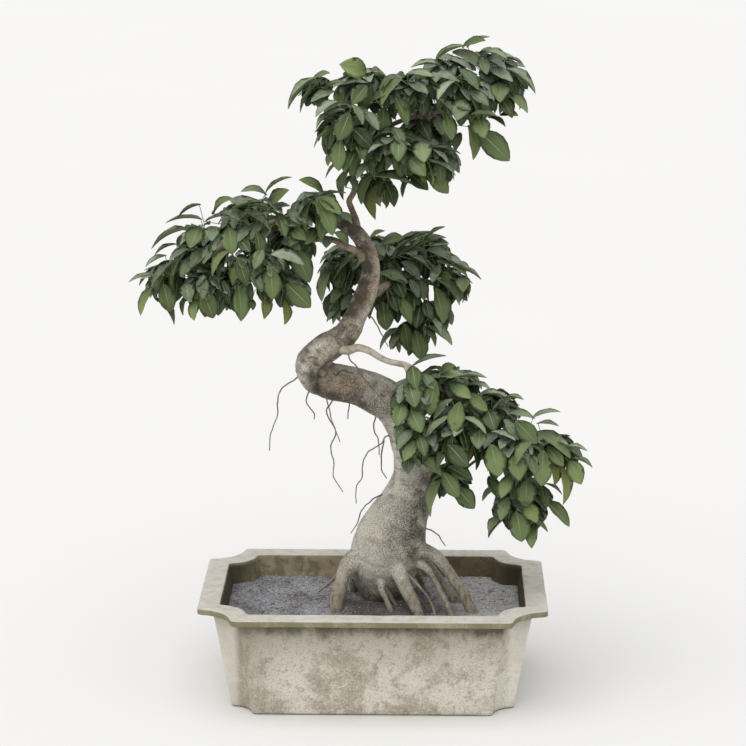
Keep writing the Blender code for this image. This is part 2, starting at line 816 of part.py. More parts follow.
def make_leaf_mass(name, middle, half, others):
    """An ellipsoid, cut flat halfway to each neighbour that it would run into."""
    bm = bmesh.new()
    bmesh.ops.create_icosphere(bm, subdivisions=LEAF_DETAIL, radius=1.0)
    bmesh.ops.scale(bm, vec=half, verts=bm.verts)
    for other_middle, other_half in others:
        apart = other_middle - middle
        distance = np.linalg.norm(apart)
        direction = apart / distance
        mine = reach_along(half, direction)
        theirs = reach_along(other_half, direction)
        if distance > LEAF_NEIGHBOURS * (mine + theirs):
            continue
        cut = (distance**2 + mine**2 - theirs**2) / (2 * distance) - LEAF_GAP / 2
        bmesh.ops.bisect_plane(
            bm,
            geom=bm.verts[:] + bm.edges[:] + bm.faces[:],
            plane_co=direction * cut,
            plane_no=direction,
            clear_outer=True,
        )
        bmesh.ops.holes_fill(bm, edges=[edge for edge in bm.edges if edge.is_boundary])
    bmesh.ops.recalc_face_normals(bm, faces=bm.faces)
    mesh = bpy.data.meshes.new(name)
    bm.to_mesh(mesh)
    bm.free()
    mass = bpy.data.objects.new(name, mesh)
    mass.location = middle
    return mass


def make_leaves(parts, tree, masses, routes, rooms):
    for name, (_, middle, half) in masses.items():
        others = [(m, h) for other, (_, m, h) in masses.items() if other != name]
        mass = place(make_leaf_mass(name, middle, half, others), parts, tree)
        cut_to_wood(mass, middle, half, routes, rooms)
        give_finish(mass, LEAF)


# ------------------------------------------------------------------------ main


def main():
    clear_scene()
    parts = new_collection("bonsai_in_pot")
    cutters = new_collection("cutters")
    tree = bpy.data.objects.new("tree_base", None)
    tree.location = (0, 0, SOIL_LEVEL)
    parts.objects.link(tree)

    masses = leaf_masses()
    routes = wood_routes()
    twig_routes = twigs(routes, masses)
    rooms = make_all_wood(parts, cutters, tree, routes, twig_routes)
    all_routes = {wood: routes[wood] + twig_routes[wood] for wood in routes}
    make_aerial_roots(parts, tree, all_routes, rooms)
    make_leaves(parts, tree, masses, all_routes, rooms)
    make_pot(parts, cutters)
    make_screens(parts)
    make_soil(parts, cutters, rooms["trunk"])


main()
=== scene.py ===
"""A bonsai fig in a cast stone planter, in a plain studio. Metres, +Z up, -Y the tree's front."""

import itertools
import math

import bpy
import numpy as np
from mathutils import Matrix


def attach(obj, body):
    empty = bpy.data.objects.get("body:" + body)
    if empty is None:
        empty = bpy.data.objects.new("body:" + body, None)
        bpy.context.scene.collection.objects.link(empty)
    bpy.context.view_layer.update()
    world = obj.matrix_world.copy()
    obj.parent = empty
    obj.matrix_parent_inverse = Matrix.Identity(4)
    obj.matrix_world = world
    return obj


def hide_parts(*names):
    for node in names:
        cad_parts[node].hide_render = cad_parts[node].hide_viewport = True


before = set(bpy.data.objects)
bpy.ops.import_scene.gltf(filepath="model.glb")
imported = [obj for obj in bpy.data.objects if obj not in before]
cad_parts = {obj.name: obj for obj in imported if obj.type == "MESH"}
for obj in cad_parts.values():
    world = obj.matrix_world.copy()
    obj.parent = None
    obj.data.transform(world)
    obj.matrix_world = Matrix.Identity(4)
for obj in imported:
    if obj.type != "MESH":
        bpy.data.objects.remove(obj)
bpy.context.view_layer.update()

# ---------------------------------------------------------------------------- camera and light

LENS = 126.95
SENSOR = 36.0
CAMERA_PLACE = (0.0727, -3.6664, 1.3841)
CAMERA_AIM = (-0.0013, 0.0, 0.4758)
SKY_STRENGTH = 0.57
KEY_STRENGTH = 1.95
KEY_SPREAD = 65.0  # degrees
KEY_FROM = (-0.35, -0.8, 2.3)


def look_along(place, aim):
    """The turn that points an object's own -Z from place to aim, with its Y upwards."""
    direction = np.array(aim, float) - place
    flat = math.hypot(direction[0], direction[1])
    return (math.atan2(flat, -direction[2]), 0.0, math.atan2(-direction[0], direction[1]))


def make_camera():
    data = bpy.data.cameras.new("camera")
    data.lens = LENS
    data.sensor_width = SENSOR
    data.clip_end = 100
    camera = bpy.data.objects.new("camera", data)
    camera.location = CAMERA_PLACE
    camera.rotation_euler = look_along(CAMERA_PLACE, CAMERA_AIM)
    bpy.context.scene.collection.objects.link(camera)
    bpy.context.scene.camera = camera


def make_light():
    """An even white sky and one broad soft key from above, a little to the left and the front."""
    world = bpy.data.worlds.new("studio_sky")
    world.use_nodes = True
    sky = world.node_tree.nodes["Background"]
    sky.inputs["Color"].default_value = (1.0, 1.0, 1.0, 1.0)
    sky.inputs["Strength"].default_value = SKY_STRENGTH
    bpy.context.scene.world = world
    key = bpy.data.lights.new("key", "SUN")
    key.energy = KEY_STRENGTH
    key.angle = math.radians(KEY_SPREAD)
    key.color = (1.0, 0.985, 0.96)
    lamp = bpy.data.objects.new("key", key)
    lamp.rotation_euler = look_along(KEY_FROM, (0, 0, 0))
    bpy.context.scene.collection.objects.link(lamp)


# -------------------------------------------------------------------------------- arrays and meshes


def noise(places, seed):
    """Smooth noise, about -1 to 1, at an (n, 3) array of places, in cells one unit wide.

    Every cell corner has a fixed slope worked out from its whole-number place, and the slopes of
    the eight corners are blended with 6t^5 - 15t^4 + 10t^3 along each axis.
    """
    cell = np.floor(places).astype(np.int64)
    inside = places - cell
    ease = inside**3 * (inside * (inside * 6 - 15) + 10)
    total = np.zeros(len(places))
    for corner in itertools.product((0, 1), repeat=3):
        mixed = ((cell + corner) * (73856093, 19349663, 83492791)).sum(axis=1) + seed * 15485863
        mixed = ((mixed ^ (mixed >> 13)) * 1274126177) & 0x3FFFFFFF
        mixed = ((mixed ^ (mixed >> 15)) * 668265263) & 0x3FFFFFFF
        slope = np.stack([((mixed >> shift) & 1023) / 511.5 - 1 for shift in (0, 10, 20)], axis=1)
        weight = np.where(corner, ease, 1 - ease).prod(axis=1)
        total += weight * (slope * (inside - corner)).sum(axis=1)
    return 1.6 * total


def roughness_of(places, size, seed, layers=3):
    """Layers of noise, each with cells half as wide and half as high as the one before."""
    return sum(noise(places / size * 2**k, seed + k) / 2**k for k in range(layers))


def unit(vectors):
    return vectors / np.maximum(np.linalg.norm(vectors, axis=-1, keepdims=True), 1e-12)


def smooth_route(points, step):
    """Rows (x, y, z, radius), a step apart, of the Catmull-Rom curve through the points."""
    rows = np.array(points, float)
    rows = np.vstack([2 * rows[0] - rows[1], rows, 2 * rows[-1] - rows[-2]])
    t = np.linspace(0, len(points) - 1, 24 * (len(points) - 1) + 1)
    i = np.minimum(t.astype(int), len(points) - 2)
    t = (t - i)[:, None]
    before, start, end, after = rows[i], rows[i + 1], rows[i + 2], rows[i + 3]
    fine = (
        start
        + 0.5 * t * (end - before)
        + t**2 * (before - 2.5 * start + 2 * end - 0.5 * after)
        + t**3 * (1.5 * (start - end) + 0.5 * (after - before))
    )
    gone = np.append(0, np.cumsum(np.linalg.norm(np.diff(fine[:, :3], axis=0), axis=1)))
    even = np.linspace(0, gone[-1], max(3, round(gone[-1] / step) + 1))
    return np.stack([np.interp(even, gone, column) for column in fine.T], axis=1)


def grid_faces(rows, columns, round_trip):
    """Quads of points numbered row by row; round_trip joins the last column to the first."""
    number = np.arange(rows * columns).reshape(rows, columns)
    if round_trip:
        number = np.hstack([number, number[:, :1]])
    corners = [number[:-1, :-1], number[:-1, 1:], number[1:, 1:], number[1:, :-1]]
    return np.stack(corners, axis=-1).reshape(-1, 4)


def closed_rings(rings):
    """(points, quads, triangles) through an (m, n, 3) array of rings, both ends drawn to a point."""
    rows, columns, _ = rings.shape
    points = np.vstack([rings.reshape(-1, 3), rings[0].mean(axis=0), rings[-1].mean(axis=0)])
    first = np.arange(columns)
    second = np.roll(first, -1)
    last = (rows - 1) * columns
    start = np.stack([np.full(columns, rows * columns), second, first], axis=1)
    end = np.stack([np.full(columns, rows * columns + 1), last + first, last + second], axis=1)
    return points, grid_faces(rows, columns, True), np.vstack([start, end])


def joined(shells):
    """One shell of many, their points numbered on from one to the next."""
    starts = np.cumsum([0] + [len(points) for points, _, _ in shells[:-1]])
    points = np.vstack([shell[0] for shell in shells])
    quads = np.vstack([shell[1] + start for shell, start in zip(shells, starts)])
    triangles = np.vstack([shell[2] + start for shell, start in zip(shells, starts)])
    return points, quads, triangles


def tube(route, sides, wobble=0.0, seed=0):
    """A closed tube: centre + radius * (cos a * side + sin a * (ahead x side)), a going once round.

    The side is square to the axis that the route follows least. Wobble swells and thins the
    radius by that share, with noise a few radii long.
    """
    centre, radius = route[:, :3], route[:, 3]
    ahead = unit(np.gradient(centre, axis=0))
    axis = np.eye(3)[np.abs(ahead).mean(axis=0).argmin()]
    side = unit(np.cross(ahead, axis))
    over = np.cross(ahead, side)
    angle = np.linspace(0, 2 * np.pi, sides, endpoint=False)[None, :, None]
    spoke = np.cos(angle) * side[:, None] + np.sin(angle) * over[:, None]
    rings = centre[:, None] + radius[:, None, None] * spoke
    if wobble:
        flat = rings.reshape(-1, 3)
        swell = 1 + wobble * roughness_of(flat, 3.5 * float(radius.mean()), seed, 2)
        rings = centre[:, None] + radius[:, None, None] * spoke * swell.reshape(len(route), sides, 1)
    return closed_rings(rings)


def new_mesh(name, shell):
    points, quads, triangles = shell
    mesh = bpy.data.meshes.new(name)
    mesh.from_pydata(points.tolist(), [], quads.tolist() + triangles.tolist())
    mesh.shade_smooth()
    return mesh


def points_of(mesh):
    places = np.empty(len(mesh.vertices) * 3)
    mesh.vertices.foreach_get("co", places)
    return places.reshape(-1, 3)


def normals_of(mesh):
    directions = np.empty(len(mesh.vertices) * 3)
    mesh.vertex_normals.foreach_get("vector", directions)
    return directions.reshape(-1, 3)


def move_points(mesh, places):
    mesh.vertices.foreach_set("co", places.ravel())
    mesh.update()


def mark(mesh, name, values):
    """Keeps one number a point on the mesh, for its material."""
    layer = mesh.attributes.new(name, "FLOAT", "POINT")
    layer.data.foreach_set("value", np.asarray(values, float))


def piece(name, mesh, material, slot, *nodes):
    """A finished piece that rides on the one body and stands for the CAD nodes named."""
    made = bpy.data.objects.new(name, mesh)
    bpy.context.scene.collection.objects.link(made)
    mesh.materials.append(material)
    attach(made, "root")
    if nodes:
        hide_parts(*nodes)
    return made


def with_modifiers(mesh, *kinds):
    """The mesh with the modifiers, each (kind, settings), applied."""
    made = bpy.data.objects.new("work", mesh)
    bpy.context.scene.collection.objects.link(made)
    for kind, settings in kinds:
        modifier = made.modifiers.new(kind, kind)
        for key, value in settings.items():
            setattr(modifier, key, value)
    bpy.context.view_layer.update()
    graph = bpy.context.evaluated_depsgraph_get()
    result = bpy.data.meshes.new_from_object(made.evaluated_get(graph))
    bpy.data.objects.remove(made)
    result.shade_smooth()
    return result


# ------------------------------------------------------------------------------------ materials


class Finish:
    """A Principled material and the nodes that feed it, on Object coordinates."""

    def __init__(self, name):
        self.material = bpy.data.materials.new(name)
        self.material.use_nodes = True
        self.tree = self.material.node_tree
        self.shader = self.tree.nodes["Principled BSDF"]
        self.place = self.add("ShaderNodeTexCoord").outputs["Object"]

    def add(self, kind, inputs=None, **settings):
        """A node with its settings; each input takes a value or another node's socket."""
        node = self.tree.nodes.new(kind)
        for key, value in settings.items():
            setattr(node, key, value)
        for key, value in (inputs or {}).items():
            self.feed(node.inputs[key], value)
        return node

    def feed(self, socket, value):
        if isinstance(value, bpy.types.NodeSocket):
            self.tree.links.new(value, socket)
        else:
            socket.default_value = value

    def noise(self, scale, detail=4.0, rough=0.55, at=None, warp=0.0):
        inputs = {
            "Vector": at or self.place,
            "Scale": scale,
            "Detail": detail,
            "Roughness": rough,
            "Distortion": warp,
        }
        return self.add("ShaderNodeTexNoise", inputs).outputs["Fac"]

    def cells(self, scale):
        inputs = {"Vector": self.place, "Scale": scale}
        return self.add("ShaderNodeTexVoronoi", inputs).outputs["Distance"]

    def stretched(self, scale):
        """The place, stretched by a scale along each axis."""
        inputs = {"Vector": self.place, "Scale": scale}
        return self.add("ShaderNodeMapping", inputs).outputs["Vector"]

    def sums(self, operation, a, b=0.0):
        return self.add("ShaderNodeMath", {0: a, 1: b}, operation=operation).outputs[0]

    def times(self, a, b):
        return self.sums("MULTIPLY", a, b)

    def plus(self, a, b):
        return self.sums("ADD", a, b)

    def minus(self, a, b):
        return self.sums("SUBTRACT", a, b)

    def size(self, a):
        return self.sums("ABSOLUTE", a)

    def step(self, value, low, high, out_low=0.0, out_high=1.0):
        """Eases from out_low to out_high while the value goes from low to high, low above high or below."""
        if low > high:
            low, high, out_low, out_high = high, low, out_high, out_low
        inputs = {"Value": value, 1: low, 2: high, 3: out_low, 4: out_high}
        node = self.add("ShaderNodeMapRange", inputs, interpolation_type="SMOOTHSTEP")
        return node.outputs["Result"]

    def blend(self, share, a, b):
        """Colour a turned into colour b by a share."""
        colours = [value if isinstance(value, bpy.types.NodeSocket) else (*value, 1.0) for value in (a, b)]
        inputs = {0: share, 6: colours[0], 7: colours[1]}
        return self.add("ShaderNodeMix", inputs, data_type="RGBA").outputs[2]

    def coats(self, colour, *coats):
        """The colour with every coat, a share and a colour, laid over it in turn."""
        for share, coat in coats:
            colour = self.blend(share, colour, coat)
        return colour

    def axis(self, name, at=None):
        return self.add("ShaderNodeSeparateXYZ", {0: at or self.place}).outputs[name]

    def marked(self, name):
        return self.add("ShaderNodeAttribute", attribute_name=name).outputs["Fac"]

    def bump(self, height, distance, strength):
        inputs = {"Height": height, "Distance": distance, "Strength": strength}
        return self.add("ShaderNodeBump", inputs).outputs["Normal"]

    def done(self, colour, roughness, normal=None, specular=0.0):
        self.feed(self.shader.inputs["Base Color"], colour)
        self.feed(self.shader.inputs["Roughness"], roughness)
        self.shader.inputs["Specular IOR Level"].default_value = specular
        if normal is not None:
            self.feed(self.shader.inputs["Normal"], normal)
        return self.material


def cast_stone():
    """Weathered cast stone: mottled and speckled, with painted shade under the lip, stained down the
    inside, painted shade with some staining in the inner end corners, and painted light on the notched
    ends.
    """
    f = Finish("cast_stone")
    height = f.axis("Z")
    clouds = f.noise(13.0, 8.0, 0.68, warp=0.3)
    patches = f.noise(58.0, 6.0, 0.70, warp=0.4)
    grain = f.noise(400.0, 3.0, 0.8)
    colour = f.blend(f.step(clouds, 0.43, 0.56), (0.490, 0.434, 0.345), (0.765, 0.712, 0.618))
    colour = f.coats(
        colour,
        (f.step(patches, 0.53, 0.60, 0.0, 0.60), (0.760, 0.730, 0.655)),
        (f.step(patches, 0.45, 0.37, 0.0, 0.55), (0.300, 0.262, 0.195)),
        (f.step(grain, 0.53, 0.62, 0.0, 0.52), (0.850, 0.830, 0.775)),
        (f.step(grain, 0.47, 0.36, 0.0, 0.48), (0.190, 0.160, 0.115)),
    )
    runs = f.noise(34.0, 6.0, 0.7, at=f.stretched((1.0, 1.0, 0.32)))
    colour = f.blend(f.step(height, 0.040, 0.147, 0.0, 0.46), colour, (0.225, 0.190, 0.125))
    # Painted shade: a near-black band right under the lip's overhang, its edge broken by patches and runs.
    broken = f.step(patches, 0.32, 0.56, 0.98, 0.76)
    under_lip = f.step(f.plus(height, f.times(runs, 0.036)), 0.1390, 0.1600)
    below = f.step(height, 0.1486, 0.1474)
    shade_under_lip = f.times(f.times(under_lip, below), broken)
    colour = f.blend(shade_under_lip, colour, (0.066, 0.056, 0.026))
    side = f.plus(f.axis("X"), f.times(clouds, 0.12))
    colour = f.blend(f.step(side, -0.04, -0.12, 0.0, 0.38), colour, (0.300, 0.262, 0.190))
    # Painted light: the notched ends below the lip are lightened.
    lit_notches = f.step(f.size(f.axis("X")), 0.188, 0.200, 0.0, 0.60)
    lit_notches = f.times(lit_notches, f.step(height, 0.148, 0.136))
    colour = f.blend(lit_notches, colour, (0.880, 0.840, 0.750))
    foot = f.step(f.plus(height, f.times(runs, 0.006)), 0.0062, 0.0040, 0.0, 0.75)
    colour = f.blend(foot, colour, (0.230, 0.200, 0.145))
    lip = f.times(f.step(height, 0.1474, 0.1486), f.step(height, 0.1566, 0.1556))
    colour = f.blend(f.times(lip, f.step(runs, 0.38, 0.58, 0.50, 0.95)), colour, (0.225, 0.202, 0.108))
    top = f.times(f.step(height, 0.1558, 0.1567), f.step(patches, 0.30, 0.62, 0.45, 0.80))
    colour = f.blend(top, colour, (0.680, 0.665, 0.620))
    grime = f.times(f.step(height, 0.1558, 0.1567), f.step(runs, 0.56, 0.68, 0.0, 0.28))
    colour = f.blend(grime, colour, (0.330, 0.320, 0.280))
    inside = f.times(f.marked("inside"), f.step(clouds, 0.36, 0.60, 0.95, 0.55))
    damp = f.blend(f.step(f.axis("X"), -0.10, 0.12), (0.385, 0.330, 0.215), (0.200, 0.162, 0.094))
    colour = f.blend(inside, colour, damp)
    stained = f.times(f.marked("inside"), f.step(patches, 0.54, 0.42, 0.0, 0.55))
    colour = f.blend(stained, colour, (0.120, 0.096, 0.056))
    # Painted shade in the inner end corners, with some dark staining of the inner end walls.
    ends = f.step(f.size(f.axis("X")), 0.165, 0.205, 0.0, 0.92)
    ends = f.times(f.times(ends, f.marked("inside")), f.step(height, 0.157, 0.150))
    colour = f.blend(ends, colour, (0.060, 0.048, 0.028))
    pits = f.cells(170.0)
    relief = f.plus(f.times(grain, 0.5), f.times(patches, 0.9))
    relief = f.minus(relief, f.step(pits, 0.26, 0.10, 0.0, 0.5))
    rough = f.step(patches, 0.3, 0.7, 0.78, 0.95)
    return f.done(colour, rough, f.bump(relief, 0.0013, 0.8), 0.3)


def soil_finish():
    """Damp gritty soil: grey-violet grains with a few pale ones, lightened towards the right by painted
    light.
    """
    f = Finish("soil")
    clouds = f.noise(22.0, 4.0, 0.6)
    grit = f.noise(520.0, 3.0, 0.75)
    flecks = f.noise(160.0, 4.0, 0.7, at=f.stretched((0.45, 1.0, 1.0)))
    colour = f.blend(f.step(clouds, 0.38, 0.62), (0.190, 0.184, 0.192), (0.360, 0.360, 0.382))
    colour = f.coats(
        colour,
        (f.step(grit, 0.51, 0.66, 0.0, 0.80), (0.640, 0.640, 0.670)),
        (f.step(grit, 0.47, 0.30, 0.0, 0.85), (0.035, 0.030, 0.032)),
        (f.step(flecks, 0.58, 0.72, 0.0, 0.55), (0.440, 0.440, 0.460)),
        # Painted light: lighter towards the right, against the tree's shadow there.
        (f.step(f.axis("X"), 0.05, 0.14, 0.0, 0.62), (0.640, 0.635, 0.625)),
        (f.step(flecks, 0.47, 0.36, 0.0, 0.65), (0.060, 0.054, 0.058)),
        (f.step(f.axis("X"), -0.13, -0.19, 0.0, 0.45), (0.190, 0.190, 0.200)),
        (f.step(grit, 0.46, 0.36, 0.0, 0.50), (0.040, 0.035, 0.036)),
    )
    across = f.times(f.minus(f.axis("X"), 0.035), 9.5)
    back = f.times(f.plus(f.axis("Y"), 0.030), 15.0)
    spread = f.plus(f.times(across, across), f.times(back, back))
    spread = f.plus(spread, f.times(clouds, 1.1))
    colour = f.coats(
        colour,
        (f.step(spread, 1.75, 0.75, 0.0, 0.80), (0.105, 0.086, 0.074)),
        (f.marked("pale"), (0.480, 0.440, 0.380)),
    )
    relief = f.plus(grit, f.times(flecks, 1.3))
    return f.done(colour, 0.93, f.bump(relief, 0.0016, 0.9), 0.25)


def trunk_bark():
    """Grey-beige fig bark, salt-and-pepper all over, browner and stained higher up; painted shade with
    stains in the hollows, under the bends and down the shaded sides, painted light with pale wear on the
    lit sides and tops, and painted shade in the creases.
    """
    f = Finish("trunk_bark")
    height = f.axis("Z")
    clouds = f.noise(19.0, 4.0, 0.6, warp=0.6)
    patches = f.noise(62.0, 5.0, 0.65, warp=0.3)
    speck = f.noise(600.0, 3.0, 0.85)
    busy = f.times(f.step(patches, 0.40, 0.56, 0.60, 1.0), f.step(f.marked("rooty"), 0.1, 0.6, 1.0, 0.35))
    fine = f.noise(980.0, 2.0, 0.7)
    high = f.step(height, 0.37, 0.50)
    pale = f.blend(high, (0.680, 0.640, 0.540), (0.400, 0.335, 0.245))
    deep = f.blend(high, (0.310, 0.284, 0.230), (0.150, 0.118, 0.082))
    colour = f.blend(f.step(clouds, 0.38, 0.62), deep, pale)
    warm = f.times(f.step(patches, 0.50, 0.64), 0.60)
    colour = f.blend(warm, colour, (0.560, 0.455, 0.305))
    cool = f.times(f.step(patches, 0.47, 0.30), f.step(high, 0.0, 1.0, 0.60, 0.35))
    colour = f.blend(cool, colour, (0.300, 0.305, 0.300))
    # Painted light on the lit sides and tops, together with pale wear of the bark.
    lit_and_worn = f.times(f.marked("lit_and_worn"), f.step(patches, 0.30, 0.60, 0.60, 0.95))
    colour = f.blend(lit_and_worn, colour, (0.800, 0.765, 0.660))
    rust = f.times(f.marked("rust"), f.step(patches, 0.30, 0.60, 0.45, 0.85))
    colour = f.coats(
        colour,
        (rust, (0.330, 0.180, 0.080)),
        (f.marked("rooty"), (0.310, 0.262, 0.190)),
    )
    # Painted shade on the undersides, in the grooves and down the shaded sides, mixed with real stains.
    shade_and_stain = f.times(f.marked("shade_and_stain"), f.step(speck, 0.35, 0.65, 1.0, 0.82))
    colour = f.blend(shade_and_stain, colour, (0.042, 0.034, 0.025))
    calm = f.minus(0.80, f.plus(f.times(high, 0.42), f.times(shade_and_stain, 0.5)))
    light = f.times(f.step(speck, 0.505, 0.590), f.times(calm, busy))
    colour = f.blend(light, colour, (0.870, 0.840, 0.760))
    dark = f.times(f.step(speck, 0.480, 0.400), f.step(fine, 0.35, 0.60, 0.90, 0.65))
    dark = f.times(dark, busy)
    colour = f.blend(dark, colour, (0.080, 0.066, 0.047))
    grain = f.noise(90.0, 5.0, 0.7, at=f.stretched((2.2, 2.2, 0.5)))
    streaks = f.times(f.step(grain, 0.50, 0.38, 0.0, 0.85), f.marked("rooty"))
    colour = f.coats(
        colour,
        (streaks, (0.130, 0.098, 0.062)),
        (f.times(f.step(grain, 0.52, 0.64, 0.0, 0.8), f.marked("rooty")), (0.520, 0.470, 0.370)),
        # Painted shade in the creases of the wrinkles and in the cracks.
        (f.times(f.marked("crease_shade"), 0.80), (0.040, 0.030, 0.020)),
    )
    relief = f.plus(f.times(speck, 0.9), f.times(fine, 0.4))
    rough = f.step(clouds, 0.3, 0.7, 0.72, 0.88)
    return f.done(colour, rough, f.bump(relief, 0.0016, 0.8), 0.35)


def thin_bark(name, pale, deep):
    """Bark of the thin wood: brown and beige, mottled and speckled."""
    f = Finish(name)
    clouds = f.noise(60.0, 4.0, 0.6)
    speck = f.noise(650.0, 3.0, 0.7)
    colour = f.blend(f.step(clouds, 0.32, 0.66), deep, pale)
    colour = f.blend(f.step(speck, 0.54, 0.72, 0.0, 0.6), colour, tuple(min(1.0, 1.6 * v) for v in pale))
    colour = f.blend(f.step(speck, 0.46, 0.30, 0.0, 0.6), colour, tuple(0.4 * v for v in deep))
    relief = f.plus(speck, f.times(clouds, 0.7))
    return f.done(colour, 0.82, f.bump(relief, 0.0009, 0.7), 0.35)


def leaf_finish():
    """A satin leaf on its own UV map: the upper side on the left half, the paler underside on the right."""
    f = Finish("leaf")
    at = f.add("ShaderNodeUVMap", uv_map="leaf").outputs["UV"]
    across = f.axis("X", at)
    along = f.axis("Y", at)
    under = f.step(across, 0.4999, 0.5001)
    doubled = f.sums("FRACT", f.times(across, 2.0))
    aside = f.times(f.size(f.minus(doubled, 0.5)), 2.0)
    tint_and_shade = f.marked("tint_and_shade")
    age = f.marked("age")
    painted_sheen = f.marked("painted_sheen")
    mottle = f.noise(130.0, 3.0, 0.6)
    # Dark to pale by a value a leaf: painted shade for the filling leaves, given paleness for the laid
    # ones.
    colour = f.blend(tint_and_shade, (0.009, 0.024, 0.007), (0.250, 0.335, 0.130))
    colour = f.coats(
        colour,
        (f.step(mottle, 0.35, 0.70, 0.0, 0.30), (0.130, 0.185, 0.075)),
        (f.step(aside, 0.55, 1.0, 0.0, 0.30), (0.100, 0.165, 0.060)),
        # Painted shade: each blade darkens towards its stalk end.
        (f.step(along, 0.0, 0.62, 0.60, 0.0), (0.014, 0.032, 0.010)),
        (f.times(age, 0.75), (0.260, 0.270, 0.060)),
    )
    ribs = f.sums("FRACT", f.minus(f.times(along, 9.0), f.times(aside, 1.6)))
    vein = f.step(f.size(f.minus(ribs, 0.5)), 0.10, 0.02, 0.0, 0.13)
    vein = f.times(vein, f.step(aside, 0.95, 0.6))
    width = f.step(along, 0.0, 1.0, 0.060, 0.022)
    midrib = f.step(f.minus(aside, width), 0.025, -0.015)
    colour = f.coats(
        colour,
        (vein, (0.190, 0.260, 0.110)),
        (f.times(midrib, 0.80), (0.300, 0.360, 0.150)),
        # Painted sheen: blades facing the sky turn pale grey-green.
        (f.times(painted_sheen, f.step(mottle, 0.30, 0.65, 0.50, 0.80)), (0.400, 0.465, 0.365)),
    )
    below = f.blend(tint_and_shade, (0.110, 0.150, 0.062), (0.185, 0.220, 0.100))
    below = f.blend(f.sums("MAXIMUM", vein, f.times(midrib, 0.8)), below, (0.330, 0.370, 0.190))
    colour = f.blend(under, colour, below)
    rough = f.plus(f.step(mottle, 0.3, 0.7, 0.30, 0.40), f.times(under, 0.22))
    relief = f.minus(f.times(mottle, 0.4), f.sums("MAXIMUM", f.times(vein, 1.2), midrib))
    return f.done(colour, rough, f.bump(relief, 0.0005, 0.6), 0.33)


def screen_finish():
    """Black woven plastic mesh."""
    f = Finish("screen_mesh")
    strands = [
        f.step(f.size(f.sums("SINE", f.times(f.axis(name), 1570.0))), 0.35, 0.75)
        for name in ("X", "Y")
    ]
    weave = f.sums("MAXIMUM", *strands)
    colour = f.blend(weave, (0.006, 0.006, 0.006), (0.050, 0.052, 0.055))
    return f.done(colour, 0.55, f.bump(weave, 0.0006, 0.8), 0.4)


# ------------------------------------------------------------------------------------ the planter

POT_HALF = (0.250, 0.168)
POT_HEIGHT = 0.157
LIP_THICKNESS = 0.009
ARRIS = 0.0016  # radius of the lip's edges
FOOT_EASE = 0.0025  # how far the foot's edge is rounded off
LIP_OVERHANG = 0.0215
WALL = 0.011
FLOOR = 0.012
WALL_LEAN = 0.0245
LIP_NOTCH = 0.051
BODY_NOTCH = 0.040
FOOT_NOTCH = 0.032
DRAIN_RADIUS = 0.011
DRAIN_X = 0.095
BODY_TOP = POT_HEIGHT - LIP_THICKNESS
SOIL_LEVEL = 0.1265
SCREEN_TOP = FLOOR + 0.0023
GRAIN_COUNT = 4200  # loose grains strewn on the soil


def notched_ring(z, half_x, half_y, notch, counts=(96, 60, 14), easing=2):
    """Points at height z round a rectangle with its corners bitten out by quarter circles.

    Each side is cut into even steps, counts giving those of a long side, a short side and a
    corner, and the arrises are eased by averaging each point with its neighbours.
    """
    long, short, corner = counts
    turn = np.linspace(0, np.pi / 2, corner, endpoint=False)
    opening = [1.5 * np.pi + k * np.pi / 2 for k in range(5)]

    def on_bite(k, angle):
        side_x, side_y = [(1, 1), (-1, 1), (-1, -1), (1, -1)][k % 4]
        x, y = side_x * half_x + notch * np.cos(angle), side_y * half_y + notch * np.sin(angle)
        return np.stack([x, y], axis=-1)

    parts = []
    for k in range(4):
        start, end = on_bite(k, opening[k] - np.pi / 2), on_bite(k + 1, opening[k + 1])
        share = np.linspace(0, 1, long if k % 2 == 0 else short, endpoint=False)[:, None]
        parts += [on_bite(k, opening[k] - turn), start + share * (end - start)]
    ring = np.vstack(parts)
    for _ in range(easing):
        ring = 0.5 * ring + 0.25 * (np.roll(ring, 1, axis=0) + np.roll(ring, -1, axis=0))
    return np.column_stack([ring, np.full(len(ring), z)])


def body_ring(z, inset=0.0):
    """Half sizes and notch of the body's outside at height z, or so much inside it."""
    rise = z / BODY_TOP
    back = LIP_OVERHANG + WALL_LEAN * (1 - rise) + inset
    return z, POT_HALF[0] - back, POT_HALF[1] - back, FOOT_NOTCH + (BODY_NOTCH - FOOT_NOTCH) * rise


